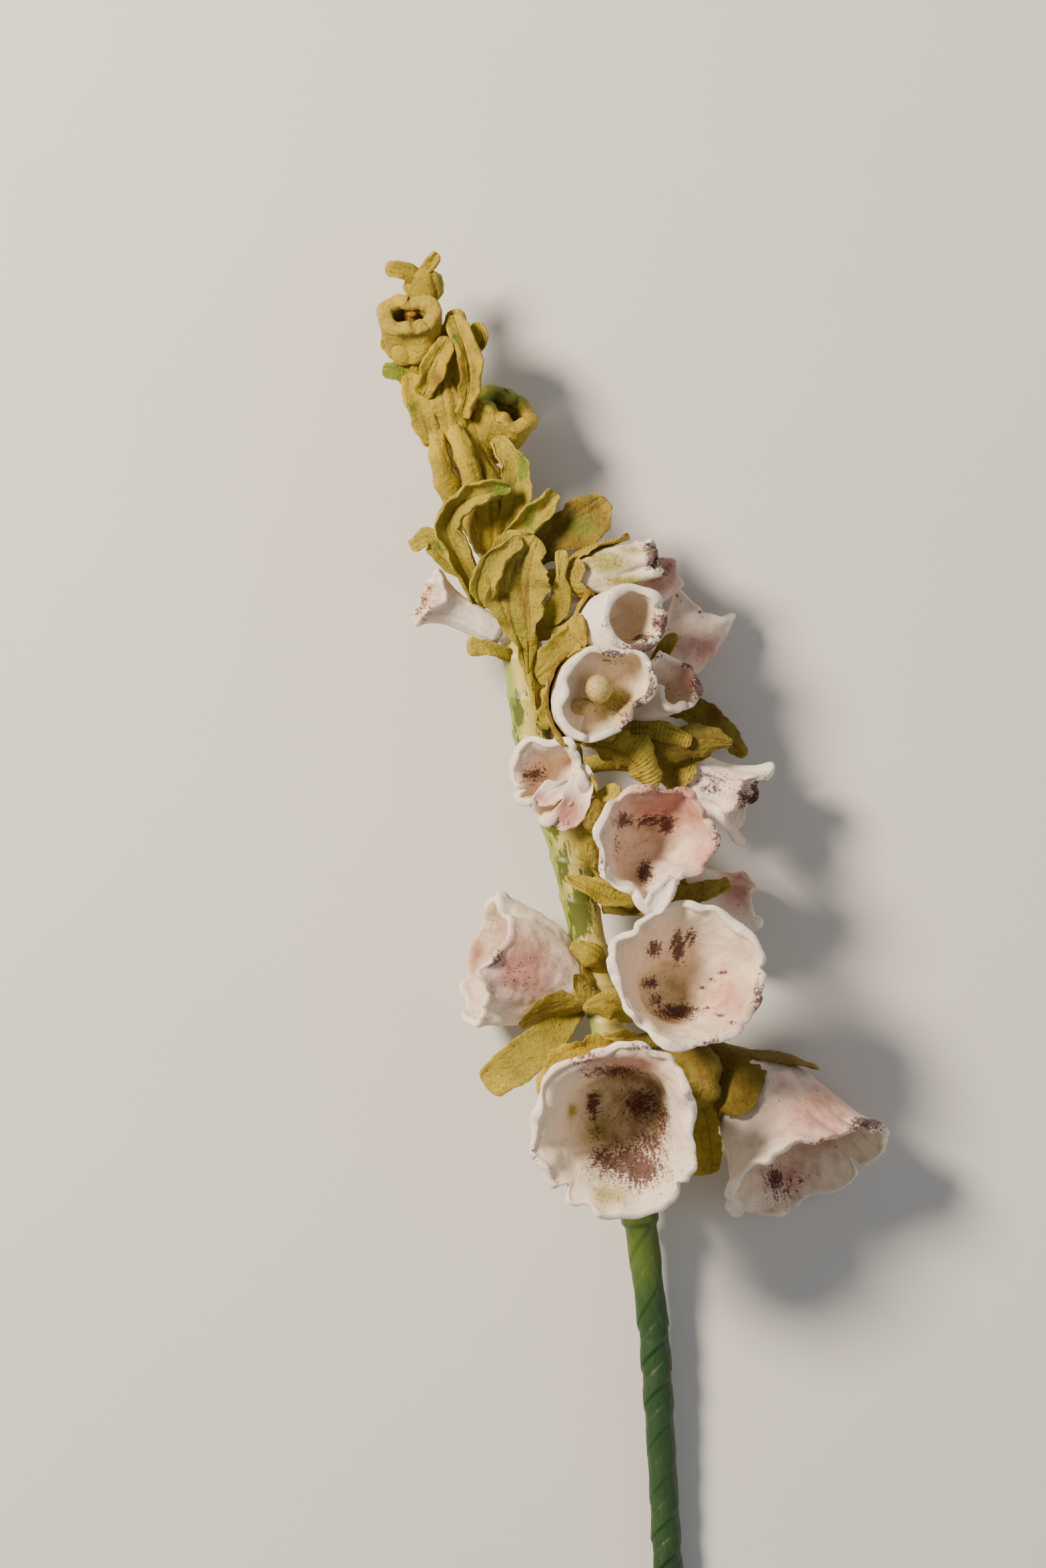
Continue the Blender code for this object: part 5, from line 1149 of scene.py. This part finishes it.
class FOXGLOVE_OT_stem(bpy.types.Operator):
    """Pale paste stem, wound tape and the bare wire in their middle"""

    bl_idname = "foxglove.stem"
    bl_label = "Stem"

    def execute(self, context):
        angle = whole_turn(72)
        self.pale_stem(angle)
        self.tape(angle)
        bpy.data.objects["stem_wire"].material_slots[0].material = made("annealed_steel_wire")
        return {"FINISHED"}

    def pale_stem(self, angle):
        """Bored paste stem with soft wrapped bands and brushed patches."""
        columns = len(angle)
        foot = TAPE_TOP + 0.35
        y = np.linspace(foot, STEM_TOP, 520)
        grid_y, grid_a = np.meshgrid(y, angle, indexing="ij")
        line, radius = stem_at(y)
        wound = (grid_y / 8.5 + grid_a / TURN) % 1.0
        band = wound ** 3 * (1 - smooth(0.93, 1.0, wound))
        lumps = 0.10 * np.sin(grid_y / 5.3 + 2 * grid_a) + 0.08 * np.sin(grid_y / 2.9 - grid_a)
        outer = tube_rows(line, radius[:, None] - 0.25 + 0.5 * band + lumps, angle, UP)
        bore = tube_rows(stem_at(np.linspace(WIRE_TOP, foot, 30))[0], np.full(30, BORE), angle, UP)
        deep = pole(stem_at(WIRE_TOP + 1.0)[0], columns)
        tip = pole(line[-1] + (0.0, 1.2, 0.0), columns)
        points = np.concatenate([deep, bore, outer, tip])
        around_it = ((31, 1), (0, 0))
        streak = np.stack([np.cos(grid_a) * 3.9, np.sin(grid_a) * 3.9, grid_y * 0.3], axis=-1)
        paint = {
            "band": np.pad(band, around_it),
            "left": np.pad(smooth(0.2, 1.0, -np.sin(grid_a)), around_it),
            "brush": np.pad(spots(outer, BRUSHED), around_it),
            "golden": np.pad(
                smooth(78.0, 87.0, grid_y), around_it, constant_values=((0.0, 1.0), (0.0, 0.0))),
            "streak": np.pad(streak, (*around_it, (0, 0))),
        }
        settle(skin("pale_paste_stem", points, paint), ["stem_paste"], "smoothed_stem_paste")

    def tape(self, angle):
        """Tape wound round the wire, its edge a low diagonal ridge, its last turn over the paste."""
        end = TAPE_TOP + TAPE_LAP
        y = np.linspace(CUT_END, end, 420)
        grid_y, grid_a = np.meshgrid(y, angle, indexing="ij")
        uneven = 0.22 * np.sin(grid_y / 17.0) + 0.10 * np.sin(grid_y / 6.1 + 1.0)
        wound = (grid_y / 10.0 - 2 * grid_a / TURN + uneven) % 1.0
        step = smooth(0.42, 0.5, wound) * (1 - smooth(0.5, 1.35, wound))
        lap = 1.8 * smooth(TAPE_TOP - 1.0, TAPE_TOP + 0.4, grid_y)
        step = step * (0.75 + 0.35 * np.sin(grid_y / 7.3)) + lap
        line, radius = stem_at(y)
        creased = 0.07 * ripple(7, 3, 11, grid_a + grid_y / 9.0)
        outer = tube_rows(line, radius[:, None] - 0.22 + 0.34 * step + creased, angle, UP)
        bore = tube_rows(stem_at(np.linspace(end, CUT_END, 24))[0], np.full(24, BORE), angle, UP)

        def wrapped(values):
            """A paint of the outside, none in the bore, and its first row again where they meet."""
            return np.concatenate([values, np.zeros((24, *values.shape[1:])), values[:1]])

        paint = {
            # ridge: the tape's paler edge, partly a painted highlight along the fold
            "ridge": wrapped(bump(wound, 0.5, 0.10)),
            # top: yellow-green towards the flowers, partly painted light shining through the tape
            "top": wrapped(smooth(-78.0, -50.0, grid_y)),
            "streak": wrapped(np.stack(
                [grid_y * 0.35, np.cos(grid_a) * 3.2, np.sin(grid_a) * 3.2], axis=-1)),
        }
        piece = skin("wound_florist_tape", np.concatenate([outer, bore, outer[:1]]), paint)
        settle(piece, ["stem_tape"], "waxed_crepe_tape")


class FOXGLOVE_OT_bells(bpy.types.Operator):
    """White paste bells with wavy lips, dusted and dry-brushed"""

    bl_idname = "foxglove.bells"
    bl_label = "Bells"

    def execute(self, context):
        for name, shape in BELLS.items():
            piece = bell_piece("petals_" + name, Bell(**shape))
            settle(piece, ["bell_" + name], "air_dry_paste_petal")
        for name, shape in CUP_BUDS.items():
            piece = bell_piece("paste_" + name, Bell(**shape), leafy=True)
            settle(piece, [name], "air_dry_paste_golden")
        return {"FINISHED"}


class FOXGLOVE_OT_calyces(bpy.types.Operator):
    """Mustard calyx cups, each with five sepals pressed round its bell"""

    bl_idname = "foxglove.calyces"
    bl_label = "Calyces"

    def execute(self, context):
        for number, (name, (root, sepals)) in enumerate(CALYCES.items()):
            bell = Bell(**BELLS[name])
            parts = [self.stalk(bell, root, name)]
            for k, sepal in enumerate(sepals):
                parts.append(sepal_skin(bell, 100 + number * 10 + k, *sepal))
            paste = "air_dry_paste_olive" if name in DARK_CALYCES else "air_dry_paste_calyx"
            settle(joined(parts, "sepals_" + name), ["calyx_" + name], paste)
        return {"FINISHED"}

    def stalk(self, bell, root, name):
        """Bent stalk that swells into the cup under the bell."""
        angle = whole_turn(48)
        low = np.linspace(0.0, 0.85, 16)
        level = np.array((0.0, 0.03, 0.06, 0.09))
        girth = bell.radius(level, np.zeros(4))
        line = np.concatenate([bell.stalk_line(root, low), bell.centre(level)])
        radii = np.concatenate([1.9 + (girth[0] * 0.8 - 1.3) * low ** 4, girth + (0.9, 1.0, 0.8, 0.2)])
        points = np.concatenate([
            pole(line[0], 48), tube_rows(line, radii, angle, bell.start), pole(bell.centre(0.03), 48)])
        bare = np.zeros(points.shape[:2])
        paint = dict.fromkeys(("groove", "tip", "comb", "stain", "umber"), bare)
        paint["fibre"] = points * np.array((1.0, 0.4, 1.0))
        return knead(skin("stalk_" + name, points, paint), (2.6, 8 / 7))


class FOXGLOVE_OT_bracts(bpy.types.Operator):
    """Bracts and loose sepals, pinched, rolled and stained"""

    bl_idname = "foxglove.bracts"
    bl_label = "Bracts"

    def execute(self, context):
        for name, (*sheet, paste, finish) in BRACTS.items():
            settle(leaf_skin("paste_" + name, *sheet, **finish), [name], "air_dry_paste_" + paste)
        return {"FINISHED"}


class FOXGLOVE_OT_buds(bpy.types.Operator):
    """Folded golden buds at the tip"""

    bl_idname = "foxglove.buds"
    bl_label = "Buds"

    def execute(self, context):
        for name, sheets in BUDS.items():
            parts = [leaf_skin("sheet", *sheet, **finish) for *sheet, finish in sheets]
            settle(joined(parts, "paste_" + name), [name], "air_dry_paste_golden")
        return {"FINISHED"}


class FOXGLOVE_OT_details(bpy.types.Operator):
    """Loose petal flaps, lumps of paste, small folds and the strand on the stem"""

    bl_idname = "foxglove.details"
    bl_label = "Flaps and Lumps"

    def execute(self, context):
        for k, (*sheet, finish) in enumerate(FLAPS):
            settle(flap_skin(f"petal_flap_{k}", *sheet, **finish), [], "air_dry_paste_petal")
        for k, (place, size, stretch, paste) in enumerate(PELLETS):
            settle(pellet(f"paste_lump_{k}", place, size, stretch), [], "air_dry_paste_" + paste)
        for name, (*sheet, paste, finish) in FOLDS.items():
            settle(leaf_skin("paste_" + name, *sheet, **finish), [], "air_dry_paste_" + paste)
        return {"FINISHED"}


class FOXGLOVE_OT_stage(bpy.types.Operator):
    """Pale surface, soft studio lamps and the camera straight above"""

    bl_idname = "foxglove.stage"
    bl_label = "Stage"

    def execute(self, context):
        bpy.ops.object.select_all(action="DESELECT")
        bpy.ops.mesh.primitive_plane_add(size=4.0, location=(0.0, 0.0, 0.0))
        surface = context.object
        surface.name = "studio_surface"
        surface.data.materials.append(made("matt_painted_board"))
        for name, place, size, power, glow in LAMPS:
            bpy.ops.object.light_add(type="AREA", location=place)
            lamp = context.object
            lamp.name = name
            lamp.data.shape = "DISK"
            lamp.data.size = size
            lamp.data.energy = power
            lamp.data.color = linear(glow)
            back = unit(np.array(place) - np.array(LAMP_TARGET))
            lamp.rotation_euler = (
                math.acos(np.clip(back[2], -1, 1)), 0.0, math.atan2(back[1], back[0]) + math.pi / 2)
        world = bpy.data.worlds.new("studio_room")
        world.use_nodes = True
        room = {"Color": tint("#e8ebf0"), "Strength": 0.26}
        feed(world.node_tree, world.node_tree.nodes["Background"], room)
        context.scene.world = world
        bpy.ops.object.camera_add(location=CAMERA_PLACE, rotation=(0.0, 0.0, 0.0))
        camera = context.object
        camera.name = "camera_above"
        camera.data.lens = context.scene.foxglove_sizes.lead
        camera.data.clip_start = 0.01
        context.scene.camera = camera
        return {"FINISHED"}


class FOXGLOVE_PT_panel(bpy.types.Panel):
    """Sizes, colours and steps of the spike in the sidebar"""

    bl_label = "Paste Foxglove"
    bl_idname = "FOXGLOVE_PT_panel"
    bl_space_type = "VIEW_3D"
    bl_region_type = "UI"
    bl_category = "Foxglove"

    def draw(self, context):
        for group in (context.scene.foxglove_sizes, context.scene.foxglove_colours):
            for label in group.bl_rna.properties.keys():
                if label not in ("rna_type", "name"):
                    self.layout.prop(group, label)
        for step in STEPS:
            self.layout.operator(step.bl_idname)


STEPS = (
    FOXGLOVE_OT_stem, FOXGLOVE_OT_bells, FOXGLOVE_OT_calyces, FOXGLOVE_OT_bracts, FOXGLOVE_OT_buds,
    FOXGLOVE_OT_details, FOXGLOVE_OT_stage,
)
CLASSES = (FoxgloveSizes, FoxgloveColours, *STEPS, FOXGLOVE_PT_panel)


def register():
    """Make the classes and their settings known to Blender."""
    for item in CLASSES:
        bpy.utils.register_class(item)
    bpy.types.Scene.foxglove_sizes = PointerProperty(type=FoxgloveSizes)
    bpy.types.Scene.foxglove_colours = PointerProperty(type=FoxgloveColours)


def unregister():
    """Take them out again."""
    del bpy.types.Scene.foxglove_colours
    del bpy.types.Scene.foxglove_sizes
    for item in reversed(CLASSES):
        bpy.utils.unregister_class(item)


def main():
    """Model the spike and its stage."""
    register()
    bpy.ops.foxglove.stem()
    bpy.ops.foxglove.bells()
    bpy.ops.foxglove.calyces()
    bpy.ops.foxglove.bracts()
    bpy.ops.foxglove.buds()
    bpy.ops.foxglove.details()
    bpy.ops.foxglove.stage()


if __name__ == "__main__":
    main()
